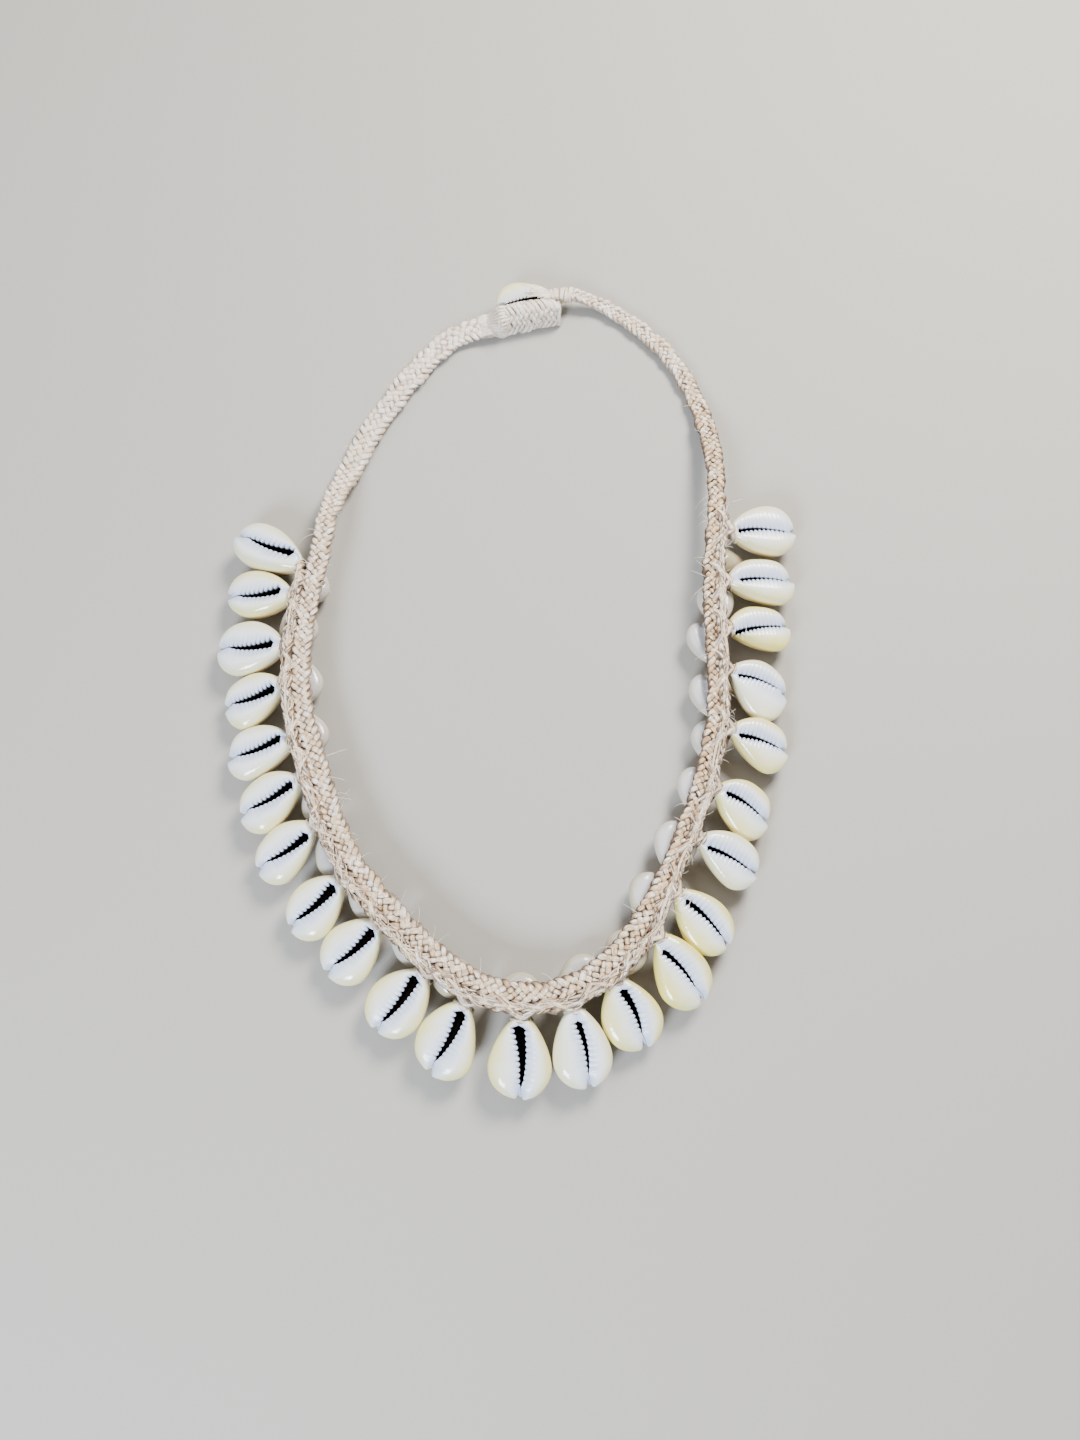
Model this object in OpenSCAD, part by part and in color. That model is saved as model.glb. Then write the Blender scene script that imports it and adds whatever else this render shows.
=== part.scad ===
// Shell lei: a closed necklace of cowrie shells, lying on a table.
// A plaited fibre band runs round the neck. Outer shells hang from its outer edge, mouth up, under shells lie
// along it and carry it, and a shell at one end of the band buttons into the folded loop at the other end.
// The origin is under the middle of the lei's box and +Z is up, so z = 0 is the table.

/* [Outer shells] */
// Height of a shell as a share of its length
outer_rise = 0.44; // [0.38:0.01:0.48]
// Width of the open slit in a shell's mouth
slit_w = 1.6; // [0.8:0.1:2.4]
// Depth of that slit
slit_depth = 1.4; // [0.6:0.1:2]

/* [Under shells] */
// Height of the shells that lie under the band
under_h = 7.8; // [6.6:0.1:7.8]
// Width of an under shell as a share of its length
under_breadth = 0.8; // [0.7:0.01:0.86]

/* [Band] */
// Clearance between two pieces that touch on the real lei
seat = 0.3; // [0.2:0.05:0.4]
// Width of the edge cord that the outer shells are lashed to
cord_w = 2.3; // [1.6:0.1:2.6]
// Thickness of the edge cord
cord_t = 2; // [1.4:0.1:2.4]

/* [Closure] */
// Length of the button shell
button_len = 20.5; // [18:0.5:22]
// Length of the folded loop at the end of the left strap
fold_len = 22.5; // [20:0.5:24]
// Thickness of the folded loop
fold_t = 2; // [1.6:0.1:2.4]

/* [Hidden] */
// Moves the lei so that the origin lies under the middle of its box
centre = [0, 0.5];

// The middle of the plait seen from above, from the left strap's end round to the right strap's end
X = 0;
Y = 1;
ROUTE = [
  [-6.5, 122.8], [-18, 120], [-30, 109.5], [-40, 95], [-49.5, 78.5], [-56, 61.5], [-60, 44],
  [-61.5, 27], [-64, 10], [-65, -7], [-63.5, -24], [-58.5, -41], [-52.5, -57.5], [-44.5, -73.5],
  [-33.5, -86.5], [-21, -98.5], [-6.5, -107.5], [10, -109.5], [24.5, -104], [35.5, -93.5],
  [44, -79], [51.5, -63], [58, -46.5], [62, -28.5], [63, -10], [63.2, 8], [64, 26],
  [66, 42], [67, 58], [66, 76], [62.5, 93], [55, 109.5], [43.5, 122.5], [31, 131.5], [19.5, 134.5]
];

// The plait's section at a few places: millimetres along the route, height of its middle, width, thickness
AT = 0;
MIDDLE = 1;
WIDTH = 2;
THICK = 3;
PLAIT = [
  [0, 2.1, 8.6, 3.2], [20, 1.9, 8.8, 3.4], [75.5, 1.9, 8.8, 3.4], [109.5, 10.4, 6.4, 4.6],
  [317.5, 10.4, 6.2, 4.6], [347.5, 10.4, 5.2, 4.6], [437.5, 10.4, 5.2, 4.6], [471.5, 10.4, 5.6, 4.4],
  [517.5, 1.8, 6.4, 3.2], [560, 1.8, 5.4, 3.2], [582, 5.6, 5, 3.2]
];
plait_sides = 10;
plait_step = 6;

// Outer shells: place along the route, distance from it to the shell's tip, length, width, swing from square,
// and slope down from the band
STATION = 0;
OUT = 1;
LONG = 2;
WIDE = 3;
SWING = 4;
SLOPE = 5;
OUTER = [
  [123.25, 4.5, 27.5, 15.5, -24, 7], [132.75, 5.25, 23.5, 16.25, -2, 10], [149.75, 5.25, 23.35, 18.5, -4, 10],
  [161.5, 5, 21.5, 16.75, 14, 13], [179.75, 4.75, 22.25, 16.75, -10, 11], [192, 5, 22.75, 16.75, 9, 11],
  [206.25, 5.5, 22.75, 15.75, 13, 12], [223.75, 4.75, 22, 16.25, 6, 12], [239.75, 4.5, 22, 17, -2, 12],
  [258.25, 5.25, 22.5, 17.5, -6, 12], [271.5, 5.75, 22.75, 18, -5, 11], [285, 5.5, 23.5, 17.75, 0, 10],
  [297.5, 5.25, 23.25, 16.75, -10, 10], [310.25, 4.25, 22, 17.25, -18, 12], [325.75, 5.75, 23.5, 16.25, -26, 11],
  [338.75, 4.5, 22.75, 15.5, -19, 11], [355.5, 4.25, 21.75, 15.5, -4, 13], [371.25, 4, 20.25, 17.25, -9, 15],
  [389.75, 4.75, 20.75, 16.25, -7, 14], [408.5, 4, 21.5, 18.25, -23, 13], [422.25, 4.5, 21.75, 15.75, 11, 12],
  [438.25, 4.75, 23.25, 16.75, 14, 10], [457.25, 5, 23.5, 18, 18, 10]
];

// Under shells: place along the route, distance of their middle outside it, length, and turn from the band
BESIDE = 1;
TURN = 3;
UNDER = [
  [125.25, 2.25, 14.75, 12], [140, 3.5, 15.5, 12], [158.5, 0.75, 15.75, 12], [175.75, 0.75, 15.25, 12],
  [198.5, 3.25, 13.5, 0], [214.75, 4.5, 14.5, 0], [230.25, 2.75, 14.5, 0], [249.25, 2.5, 14.25, 12],
  [263.25, 2.25, 14.25, 12], [282.5, 1.25, 15.75, 12], [301.5, -1, 15.75, 12], [316, 1.5, 15.75, 12],
  [334, -1, 16.75, 12], [351.25, -0.5, 16.75, 12], [370.25, -0.5, 15.5, 12], [386.25, 0.25, 14.75, 12],
  [401.75, -1, 15.5, 12], [419.75, -1.5, 15, 12], [433.25, 2.25, 15, 12], [449.5, 4.75, 14.5, 100]
];

// A cowrie's sections from its narrow tip to its broad end: place along it as a share of its length, breadth as a
// share of its width, and the drop of its face and the reach of its back as shares of its height
ALONG = 0;
BREADTH = 1;
DROP = 2;
BACK = 3;
COWRIE = [
  [0, 0.18, 0.16, 0.34], [0.05, 0.28, 0.1, 0.48], [0.15, 0.51, 0.05, 0.66], [0.3, 0.76, 0.01, 0.86],
  [0.46, 0.92, 0, 0.97], [0.62, 1, 0, 1], [0.76, 0.95, 0.01, 0.93], [0.88, 0.75, 0.05, 0.76],
  [0.96, 0.47, 0.12, 0.56], [1, 0.2, 0.22, 0.4]
];

// One side of a cowrie's section, from beside its slit round to under its back: distance from the middle as a share
// of the half breadth, and depth under the face as a share of the section's height
ACROSS = 0;
UNDERFACE = 1;
SECTION = [[0.42, 0], [0.8, 0.05], [1, 0.28], [0.9, 0.62], [0.55, 0.91]];
PLAIN_SECTION = [[0.55, 0], [1, 0.28], [0.9, 0.62], [0.5, 0.92]];
plain_sections = [0, 1, 2, 3, 5, 7, 8, 9];

// The edge cord runs from beside the first outer shell's tip to just past the last one's
cord_from = OUTER[0][STATION] + 5;
cord_to = OUTER[len(OUTER) - 1][STATION] + 6;
cord_sides = 8;
cord_step = 7;

// The button shell: its tip on the right strap's end, the way that its broad end points, and its roll, which turns
// its face to the front
button_tip = centre + [13.4, 131.5];
button_turn = 194;
button_roll = 25;
button_w = 13.8;
button_h = 8.5;

// The folded loop starts beside the left strap's end, covers the button's face up to its slit, and comes down to the
// table in front of it. Inner side of its section: distance in front of the slit, and height
REACH = 0;
LIFT = 1;
FOLD = [[1.25, 8.45], [2.8, 7.75], [5.2, 6.2], [5.65, 3.5], [5.55, 1.7], [5.4, 0]];
fold_start = centre + [-7.05, 126.35];
fold_turn = 14;
fold_sections = 5;

// The binding joins the right strap's end to the button's tip: share of the way, breadth and thickness
BINDING = [[0, 5, 3.4], [0.3, 5.6, 4], [0.7, 5, 3.8], [1, 3.6, 2.6]];
binding_sides = 8;

function padded(n) = n < 10 ? str("0", n) : str(n);
function outer_name(i) = str("outer_shell_", padded(i + 1));
function under_name(i) = str("under_shell_", padded(i + 1));

// Names of every node

// A smooth curve through the rows of a table, at row number t
function row_at(p, i) = i < 0 ? 2 * p[0] - p[1] : i > len(p) - 1 ? 2 * p[i - 1] - p[i - 2] : p[i];
function curve(p, i, u) = 0.5 * (
  2 * row_at(p, i) + (row_at(p, i + 1) - row_at(p, i - 1)) * u
  + (2 * row_at(p, i - 1) - 5 * row_at(p, i) + 4 * row_at(p, i + 1) - row_at(p, i + 2)) * u * u
  + (3 * row_at(p, i) - row_at(p, i - 1) - 3 * row_at(p, i + 1) + row_at(p, i + 2)) * u * u * u
);
steps_per_row = 8;
FINE = concat(
  [for (i = [0:len(ROUTE) - 2], k = [0:steps_per_row - 1]) centre + curve(ROUTE, i, k / steps_per_row)],
  [centre + ROUTE[len(ROUTE) - 1]]
);

// Distance along the route at each fine point, and a point, a direction and a normal at any distance s
function run_to(i, sum = 0, out = []) =
  i == len(FINE) ? out
  : run_to(i + 1, sum + (i == 0 ? 0 : norm(FINE[i] - FINE[i - 1])),
           concat(out, [sum + (i == 0 ? 0 : norm(FINE[i] - FINE[i - 1]))]));
RUN = run_to(0);
route_len = RUN[len(RUN) - 1];
X_TABLE = [for (i = [0:len(RUN) - 1]) [RUN[i], FINE[i][X]]];
Y_TABLE = [for (i = [0:len(RUN) - 1]) [RUN[i], FINE[i][Y]]];
function point(s) = [lookup(s, X_TABLE), lookup(s, Y_TABLE)];
function unit(v) = v / norm(v);
function along(s) = unit(point(min(s + 1, route_len)) - point(max(s - 1, 0)));
function outward(s) = [along(s)[Y], -along(s)[X]];

// A column of the plait's table at distance s, eased from row to row
function ease(u) = u * u * (3 - 2 * u);
function plait_row(s, i = 0) = i == len(PLAIT) - 2 || s < PLAIT[i + 1][AT] ? i : plait_row(s, i + 1);
function plait(s, column) =
  let (i = plait_row(s), a = PLAIT[i], b = PLAIT[i + 1], u = min(max((s - a[AT]) / (b[AT] - a[AT]), 0), 1))
  a[column] + (b[column] - a[column]) * ease(u);

// A ring of points round the middle c at distance s: a flat oval w wide and t thick
function oval(s, c, w, t, sides) = [
  for (k = [0:sides - 1])
    let (a = 360 * (k + 0.5) / sides, side = w / 2 * cos(a) / max(abs(cos(a)), abs(sin(a)) * 0.8 + 0.2),
         rise = t / 2 * sin(a) / max(abs(sin(a)), abs(cos(a)) * 0.3 + 0.7), n = outward(s))
    [c[X] + n[X] * side, c[Y] + n[Y] * side, c[2] + rise]
];

// Joins rings of equally many points into one closed solid
module loft(rings) {
  n = len(rings[0]);
  m = len(rings);
  polyhedron(
    points = [for (ring = rings) each ring],
    faces = concat(
      [[for (k = [n - 1:-1:0]) k]],
      [[for (k = [0:n - 1]) (m - 1) * n + k]],
      [
        for (i = [0:m - 2], k = [0:n - 1])
          let (a = i * n + k, b = i * n + (k + 1) % n)
          each [[a, b + n, a + n], [a, b, b + n]]
      ]
    ),
    convexity = 8
  );
}

// One section of a cowrie, as a ring across its long axis
function face_z(row, h) = -row[DROP] * h;
function back_z(row, h) = -row[BACK] * h;
function side_points(row, part, w, h, way) = [
  for (p = part)
    [way * p[ACROSS] * row[BREADTH] * w / 2, face_z(row, h) + p[UNDERFACE] * (back_z(row, h) - face_z(row, h))]
];
function backwards(list) = [for (i = [len(list) - 1:-1:0]) list[i]];
function mouth(row, h) =
  let (f = face_z(row, h), open = min(row[BREADTH] * 1.6, 1))
  [[-slit_w / 2 * open, f - 0.2], [0, f - slit_depth * open], [slit_w / 2 * open, f - 0.2]];
function cowrie_ring(row, part, l, w, h, slit) =
  let (ring = concat(slit ? mouth(row, h) : [[0, face_z(row, h) * 0.8]], side_points(row, part, w, h, 1),
                     [[0, back_z(row, h)]], backwards(side_points(row, part, w, h, -1))))
  [for (q = ring) [row[ALONG] * l, q[0], q[1]]];

// A cowrie with its tip at the origin, its broad end along +X and its mouth up
module cowrie(l, w, h) {
  loft([for (row = COWRIE) cowrie_ring(row, SECTION, l, w, h, true)]);
}

// The same form with fewer faces, for the shells that the band covers
module plain_cowrie(l, w, h) {
  loft([for (i = plain_sections) cowrie_ring(COWRIE[i], PLAIN_SECTION, l, w, h, false)]);
}

// Height at which the tip of a sloping shell of length l and height h lies when its back touches the table
function tip_height(l, h, tilt) = max([for (row = COWRIE) row[ALONG] * l * sin(tilt) + row[BACK] * h * cos(tilt)]);

function heading(v) = atan2(v[Y], v[X]);

module outer_shell(i) {
  row = OUTER[i];
  h = outer_rise * row[LONG];
  tip = point(row[STATION]) + row[OUT] * outward(row[STATION]);
  color("ivory")
    translate([tip[X], tip[Y], tip_height(row[LONG], h, row[SLOPE])])
      rotate([0, row[SLOPE], heading(outward(row[STATION])) + row[SWING]])
        cowrie(row[LONG], row[WIDE], h);
}

module under_shell(i) {
  row = UNDER[i];
  middle = point(row[STATION]) + row[BESIDE] * outward(row[STATION]);
  color("seashell")
    translate([middle[X], middle[Y], under_h])
      rotate([0, 0, heading(along(row[STATION])) + row[TURN]])
        translate([-row[LONG] / 2, 0, 0])
          plain_cowrie(row[LONG], row[LONG] * under_breadth, under_h);
}

module plaited_band() {
  rings = ceil(route_len / plait_step);
  color("linen")
    loft([
      for (i = [0:rings])
        let (s = route_len * i / rings, c = point(s))
        oval(s, [c[X], c[Y], plait(s, MIDDLE)], plait(s, WIDTH), plait(s, THICK), plait_sides)
    ]);
}

// The edge cord lies along the plait's outer edge, over the tips of the outer shells
module edge_cord() {
  rings = ceil((cord_to - cord_from) / cord_step);
  color("tan")
    loft([
      for (i = [0:rings])
        let (s = cord_from + (cord_to - cord_from) * i / rings,
             c = point(s) + outward(s) * (plait(s, WIDTH) / 2 + seat + cord_w / 2),
             rise = plait(s, MIDDLE) + plait(s, THICK) / 2 - cord_t / 2 + 0.6)
        oval(s, [c[X], c[Y], rise], cord_w, cord_t, cord_sides)
    ]);
}

// Height of the button's tip at which its lowest side, after the roll, lies on the table
button_rise = max([
  for (row = COWRIE) for (p = cowrie_ring(row, SECTION, button_len, button_w, button_h, true))
    p[1] * sin(button_roll) - p[2] * cos(button_roll)
]);

module button_shell() {
  color("ivory")
    translate([button_tip[X], button_tip[Y], button_rise])
      rotate([-button_roll, 0, button_turn])
        cowrie(button_len, button_w, button_h);
}

// One side of the fold's section, from the slit down to the table: the inner side moved outward by a thickness
function fold_side(thick) = [
  for (k = [0:len(FOLD) - 1])
    let (way = unit(FOLD[min(k + 1, len(FOLD) - 1)] - FOLD[max(k - 1, 0)]))
    [-FOLD[k][REACH] + thick * way[LIFT], max(0, FOLD[k][LIFT] + thick * way[REACH])]
];

module folded_loop() {
  color("white")
    translate([fold_start[X], fold_start[Y], 0])
      rotate([0, 0, fold_turn])
        loft([
          for (i = [0:fold_sections - 1])
            [
              for (p = concat(fold_side(0), backwards(fold_side(fold_t))))
                [fold_len * i / (fold_sections - 1), p[0], p[1]]
            ]
        ]);
}

module end_binding() {
  out = [cos(button_turn), sin(button_turn)];
  across = [-out[Y], out[X]];
  sunk = button_h * (COWRIE[0][DROP] + COWRIE[0][BACK]) / 2;
  from = [each (point(route_len) + seat * along(route_len)), plait(route_len, MIDDLE)];
  to = [each (button_tip - seat * out - across * sunk * sin(button_roll)), button_rise - sunk * cos(button_roll)];
  color("white")
    loft([
      for (row = BINDING)
        let (side = unit(outward(route_len) * (1 - row[0]) + -across * row[0]))
        [
          for (k = [0:binding_sides - 1])
            let (a = 360 * (k + 0.5) / binding_sides)
            from + (to - from) * row[0] + [each side * row[1] / 2 * cos(a), row[2] / 2 * sin(a)]
        ]
    ]);
}

plaited_band();
edge_cord();
button_shell();
folded_loop();
end_binding();
for (i = [0:len(OUTER) - 1]) outer_shell(i);
for (i = [0:len(UNDER) - 1]) under_shell(i);
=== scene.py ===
"""Looks of the shell lei: cowrie shells on a plaited fibre band, lying on a plain pale table."""
import logging
import math
from dataclasses import dataclass, field
from enum import Enum
from typing import Callable, Mapping, Sequence

import bpy
import numpy as np
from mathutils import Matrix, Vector


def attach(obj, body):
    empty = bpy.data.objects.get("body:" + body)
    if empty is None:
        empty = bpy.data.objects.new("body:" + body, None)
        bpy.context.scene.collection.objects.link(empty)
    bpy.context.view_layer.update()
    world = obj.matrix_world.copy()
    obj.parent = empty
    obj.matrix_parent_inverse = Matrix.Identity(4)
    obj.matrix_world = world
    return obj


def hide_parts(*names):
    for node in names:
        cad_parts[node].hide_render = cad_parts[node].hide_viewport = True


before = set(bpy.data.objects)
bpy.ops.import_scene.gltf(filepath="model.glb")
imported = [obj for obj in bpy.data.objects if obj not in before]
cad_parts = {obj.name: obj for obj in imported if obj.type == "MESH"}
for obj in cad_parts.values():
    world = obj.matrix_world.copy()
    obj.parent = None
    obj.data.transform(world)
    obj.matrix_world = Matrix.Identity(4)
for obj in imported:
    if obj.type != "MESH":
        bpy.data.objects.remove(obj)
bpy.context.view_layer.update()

LOG = logging.getLogger("shell_lei")

Array = np.ndarray
Colour = tuple[float, float, float]
MM = 0.001
UP = np.array([0.0, 0.0, 1.0])
# Where the lei's own origin lies on the table, in millimetres.
CENTRE = np.array([0.0, 0.5])


# Shapes


def smooth(low: float, high: float, x: Array) -> Array:
    """Eases from 0 at low to 1 at high: 3 u^2 - 2 u^3, u being the share of the way."""
    u = np.clip((x - low) / (high - low), 0, 1)
    return u * u * (3 - 2 * u)


def span(start: float, risen: float, falling: float, end: float, x: Array) -> Array:
    """Eases from 0 to 1 between start and risen, and back to 0 between falling and end."""
    return smooth(start, risen, x) * (1 - smooth(falling, end, x))


def unit(v: Array) -> Array:
    """Scales vectors along the last axis to length 1."""
    return v / np.maximum(np.linalg.norm(v, axis=-1, keepdims=True), 1e-12)


def through(rows: Array, t: Array) -> Array:
    """Runs a smooth cubic curve through the rows of a table, each span leaning on its two outer neighbours.

    Args:
        rows: One row for each point that the curve passes.
        t: Row numbers at which it is read, whole or not.

    Returns:
        The curve's points, one for each t.
    """
    p = np.vstack([2 * rows[0] - rows[1], rows, 2 * rows[-1] - rows[-2], 3 * rows[-1] - 2 * rows[-2]])
    i = np.clip(np.floor(t).astype(int), 0, len(rows) - 2)
    u = (t - i)[:, None]
    a, b, c, d = p[i], p[i + 1], p[i + 2], p[i + 3]
    return 0.5 * (2 * b + (c - a) * u + (2 * a - 5 * b + 4 * c - d) * u**2 + (3 * b - a - 3 * c + d) * u**3)


@dataclass
class Route:
    """The line that the band's middle follows over the table, and the plait along it, in millimetres.

    Each row of the plait holds the distance along the line, the height of its middle, its width and its
    thickness. Each row of tan holds the distance and how tan the fibre is there.
    """

    rows: Sequence[tuple[float, float]] = (
        (-6.5, 122.8), (-18, 120), (-30, 109.5), (-40, 95), (-49.5, 78.5), (-56, 61.5), (-60, 44),
        (-61.5, 27), (-64, 10), (-65, -7), (-63.5, -24), (-58.5, -41), (-52.5, -57.5), (-44.5, -73.5),
        (-33.5, -86.5), (-21, -98.5), (-6.5, -107.5), (10, -109.5), (24.5, -104), (35.5, -93.5), (44, -79),
        (51.5, -63), (58, -46.5), (62, -28.5), (63, -10), (63.2, 8), (64, 26), (66, 42), (67, 58), (66, 76),
        (62.5, 93), (55, 109.5), (43.5, 122.5), (31, 131.5), (19.5, 134.5),
    )
    plait: Sequence[tuple[float, float, float, float]] = (
        (0, 2.1, 8.6, 3.2), (20, 1.9, 8.8, 3.4), (75.5, 1.9, 8.8, 3.4), (109.5, 10.4, 6.4, 4.6),
        (317.5, 10.4, 6.2, 4.6), (347.5, 10.4, 5.2, 4.6), (437.5, 10.4, 5.2, 4.6), (471.5, 10.4, 5.6, 4.4),
        (517.5, 1.8, 6.4, 3.2), (560, 1.8, 5.4, 3.2), (582, 5.6, 5, 3.2),
    )
    tan: Sequence[tuple[float, float]] = (
        (0, 0), (75, 0.12), (125, 0.55), (250, 0.6), (330, 0.9), (460, 1), (500, 0.95), (535, 0.35),
        (582, 0.1),
    )
    fine: Array = field(init=False)
    run: Array = field(init=False)

    def __post_init__(self) -> None:
        """Works out the fine points of the line and the distance to each."""
        rows = np.array(self.rows, float)
        self.fine = through(rows, np.arange(0, len(rows) - 1 + 1e-9, 0.125)) + CENTRE
        self.run = np.concatenate([[0], np.cumsum(np.linalg.norm(np.diff(self.fine, axis=0), axis=1))])

    @property
    def length(self) -> float:
        """The line's whole length."""
        return float(self.run[-1])

    def at(self, s: Array) -> Array:
        """Points of the line on the table.

        Args:
            s: Distances along the line.

        Returns:
            The points.
        """
        s = np.asarray(s, float)
        flat = np.stack([np.interp(s, self.run, self.fine[:, k]) for k in (0, 1)], -1)
        return np.concatenate([flat, np.zeros((*flat.shape[:-1], 1))], -1)

    def along(self, s: Array) -> Array:
        """Directions of travel at distances s."""
        s = np.asarray(s, float)
        return unit(self.at(np.minimum(s + 1, self.length)) - self.at(np.maximum(s - 1, 0)))

    def outward(self, s: Array) -> Array:
        """Directions square to the line, away from the neck."""
        way = self.along(s)
        return np.stack([way[..., 1], -way[..., 0], np.zeros(way.shape[:-1])], -1)

    def size(self, s: Array) -> tuple[Array, Array, Array]:
        """Size of the plait, eased from row to row of the table.

        Args:
            s: Distances along the line.

        Returns:
            Height of the plait's middle, its width and its thickness.
        """
        table = np.array(self.plait, float)
        i = np.clip(np.searchsorted(table[:, 0], s, side="right") - 1, 0, len(table) - 2)
        a, b = table[i], table[i + 1]
        row = a + (b - a) * smooth(a[..., 0], b[..., 0], s)[..., None]
        return row[..., 1], row[..., 2], row[..., 3]

    def shelled(self, s: Array) -> Array:
        """How far the band is inside its shell stretch: 0 on the bare straps, 1 among the shells."""
        return span(88, 112, 468, 500, s)

    def narrow(self, s: Array) -> Array:
        """1 along the right side, where the second row hardly shows, and 0 elsewhere."""
        return span(318, 350, 458, 474, s)

    def tanned(self, s: Array) -> Array:
        """How tan the fibre is: white on the left strap, tanner among the shells, most on the right side."""
        return np.interp(s, *zip(*self.tan))


@dataclass
class Skin:
    """Tubes of rings, each closed by a pole at both ends, that go into one mesh."""

    name: str
    points: list[Array] = field(default_factory=list)
    faces: list[Array] = field(default_factory=list)
    fans: list[Array] = field(default_factory=list)
    values: dict[str, list[Array]] = field(default_factory=dict)
    count: int = 0

    def add(self, rings: Array, values: Mapping[str, Array],
            poles: tuple[Array, Array] | None = None) -> None:
        """Adds tubes that have the same numbers of rings and points.

        Args:
            rings: Points, with the axes tube, ring, place round the ring, coordinate.
            values: What the finish reads at each point, by name, as numbers or vectors.
            poles: The first and the last point of each tube. Each is the middle of the end ring if not given.
        """
        tubes, rows, sides = rings.shape[:3]
        first, last = poles or (rings[:, 0].mean(1), rings[:, -1].mean(1))
        body = np.concatenate([rings.reshape(tubes, -1, 3), first[:, None], last[:, None]], 1)
        i, j = np.meshgrid(np.arange(rows - 1), np.arange(sides), indexing="ij")
        k = (j + 1) % sides
        ring, after = i * sides, (i + 1) * sides
        quads = np.stack([ring + j, ring + k, after + k, after + j], -1).reshape(-1, 4)
        here = np.arange(sides)
        beside = (here + 1) % sides
        pole, end = np.full(sides, rows * sides), (rows - 1) * sides
        fans = np.concatenate([np.stack([pole, beside, here], -1),
                               np.stack([pole + 1, end + here, end + beside], -1)])
        a, b, c = (body[0][quads[:, n]] for n in (0, 1, 2))
        if np.einsum("ij,ij->", a - body[0].mean(0), np.cross(b - a, c - a)) < 0:
            quads, fans = quads[:, ::-1], fans[:, ::-1]
        start = self.count + np.arange(tubes)[:, None, None] * body.shape[1]
        self.points.append(body.reshape(-1, 3))
        self.faces.append((quads[None] + start).reshape(-1, 4))
        self.fans.append((fans[None] + start).reshape(-1, 3))
        for key, value in values.items():
            width = value.shape[3:] or ()
            value = np.broadcast_to(value, (tubes, rows, sides, *width)).astype(float)
            ends = value[:, [0, -1]].mean(2)
            self.values.setdefault(key, []).append(
                np.concatenate([value.reshape(tubes, -1, *width), ends], 1).reshape(-1, *width))
        self.count += tubes * body.shape[1]

    def lay(self, path: Array, face: Array, width: Array | float, thick: Array | float, shift: Array | float,
            fibre: tuple[Array | float, Array | float, Array | float], sides: int = 8,
            edge: float = 0.85) -> None:
        """Lays flat strands of fibre: ovals path + side w/2 cos a + rise t/2 sin a, side being path x face.

        Args:
            path: Points, with the axes strand, place along it, coordinate. One strand needs no first axis.
            face: The direction that the oval's flat side looks in, at each point or for all.
            width: The oval's width.
            thick: Its thickness.
            shift: Moves the finish's streaks, so that no two strands look the same.
            fibre: How deep the strand lies, which sets its painted shade, how tan it is and its own tone,
                each about 0 to 1.
            sides: Points round the oval.
            edge: How much the depth, and with it the painted shade, grows towards the oval's two edges, with
                the fourth power of cos a.
        """
        path = path.reshape(-1, *path.shape[-2:])
        step = np.gradient(path, axis=1)
        way = unit(step)
        side = unit(np.cross(way, face))
        rise = np.cross(side, way)
        a = 2 * np.pi * (np.arange(sides) + 0.5) / sides
        across = np.asarray(width)[..., None] / 2 * np.cos(a)
        high = np.asarray(thick)[..., None] / 2 * np.sin(a)
        rings = path[:, :, None] + side[:, :, None] * across[..., None] + rise[:, :, None] * high[..., None]
        run = np.cumsum(np.linalg.norm(step, axis=-1), 1)[..., None]
        lay = np.stack(np.broadcast_arrays(run, across, high), -1)
        # The first part of fibre is painted shade: more where the strand dips and towards the oval's edges.
        low, warm, tone = (np.asarray(value, float)[..., None] for value in fibre)
        shade = np.broadcast_arrays(low + edge * np.cos(a) ** 4, warm, tone, run)[:3]
        self.add(rings, {"lay": lay + shift, "fibre": np.stack(shade, -1)})

    def build(self, finish: "Finish", slot: str, replaces: Sequence[str] = ()) -> None:
        """Makes the mesh object, dresses it and ties it to the lei's body. Nothing dips under the table.

        Args:
            finish: The finish that it wears.
            slot: The record's material slot; not used.
            replaces: CAD nodes that it stands for.
        """
        mesh = bpy.data.meshes.new(self.name)
        points = np.concatenate(self.points) * MM
        points[:, 2] = np.maximum(points[:, 2], 0)
        quads, fans = np.concatenate(self.faces), np.concatenate(self.fans)
        corners = np.concatenate([quads.ravel(), fans.ravel()])
        starts = np.concatenate([np.arange(len(quads)) * 4, len(quads) * 4 + np.arange(len(fans)) * 3])
        mesh.vertices.add(len(points))
        mesh.vertices.foreach_set("co", points.ravel())
        mesh.loops.add(len(corners))
        mesh.loops.foreach_set("vertex_index", corners.astype(np.int32))
        mesh.polygons.add(len(starts))
        mesh.polygons.foreach_set("loop_start", starts.astype(np.int32))
        mesh.update(calc_edges=True)
        mesh.validate()
        mesh.shade_smooth()
        for key, parts in self.values.items():
            value = np.concatenate(parts)
            kind, target = ("FLOAT_VECTOR", "vector") if value.ndim == 2 else ("FLOAT", "value")
            mesh.attributes.new(key, kind, "POINT").data.foreach_set(target, value.ravel())
        thing = bpy.data.objects.new(self.name, mesh)
        bpy.context.scene.collection.objects.link(thing)
        mesh.materials.append(finish.material())
        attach(thing, "root")
        if replaces:
            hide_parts(*replaces)
        LOG.info("%s: %d faces", self.name, len(starts))


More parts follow.
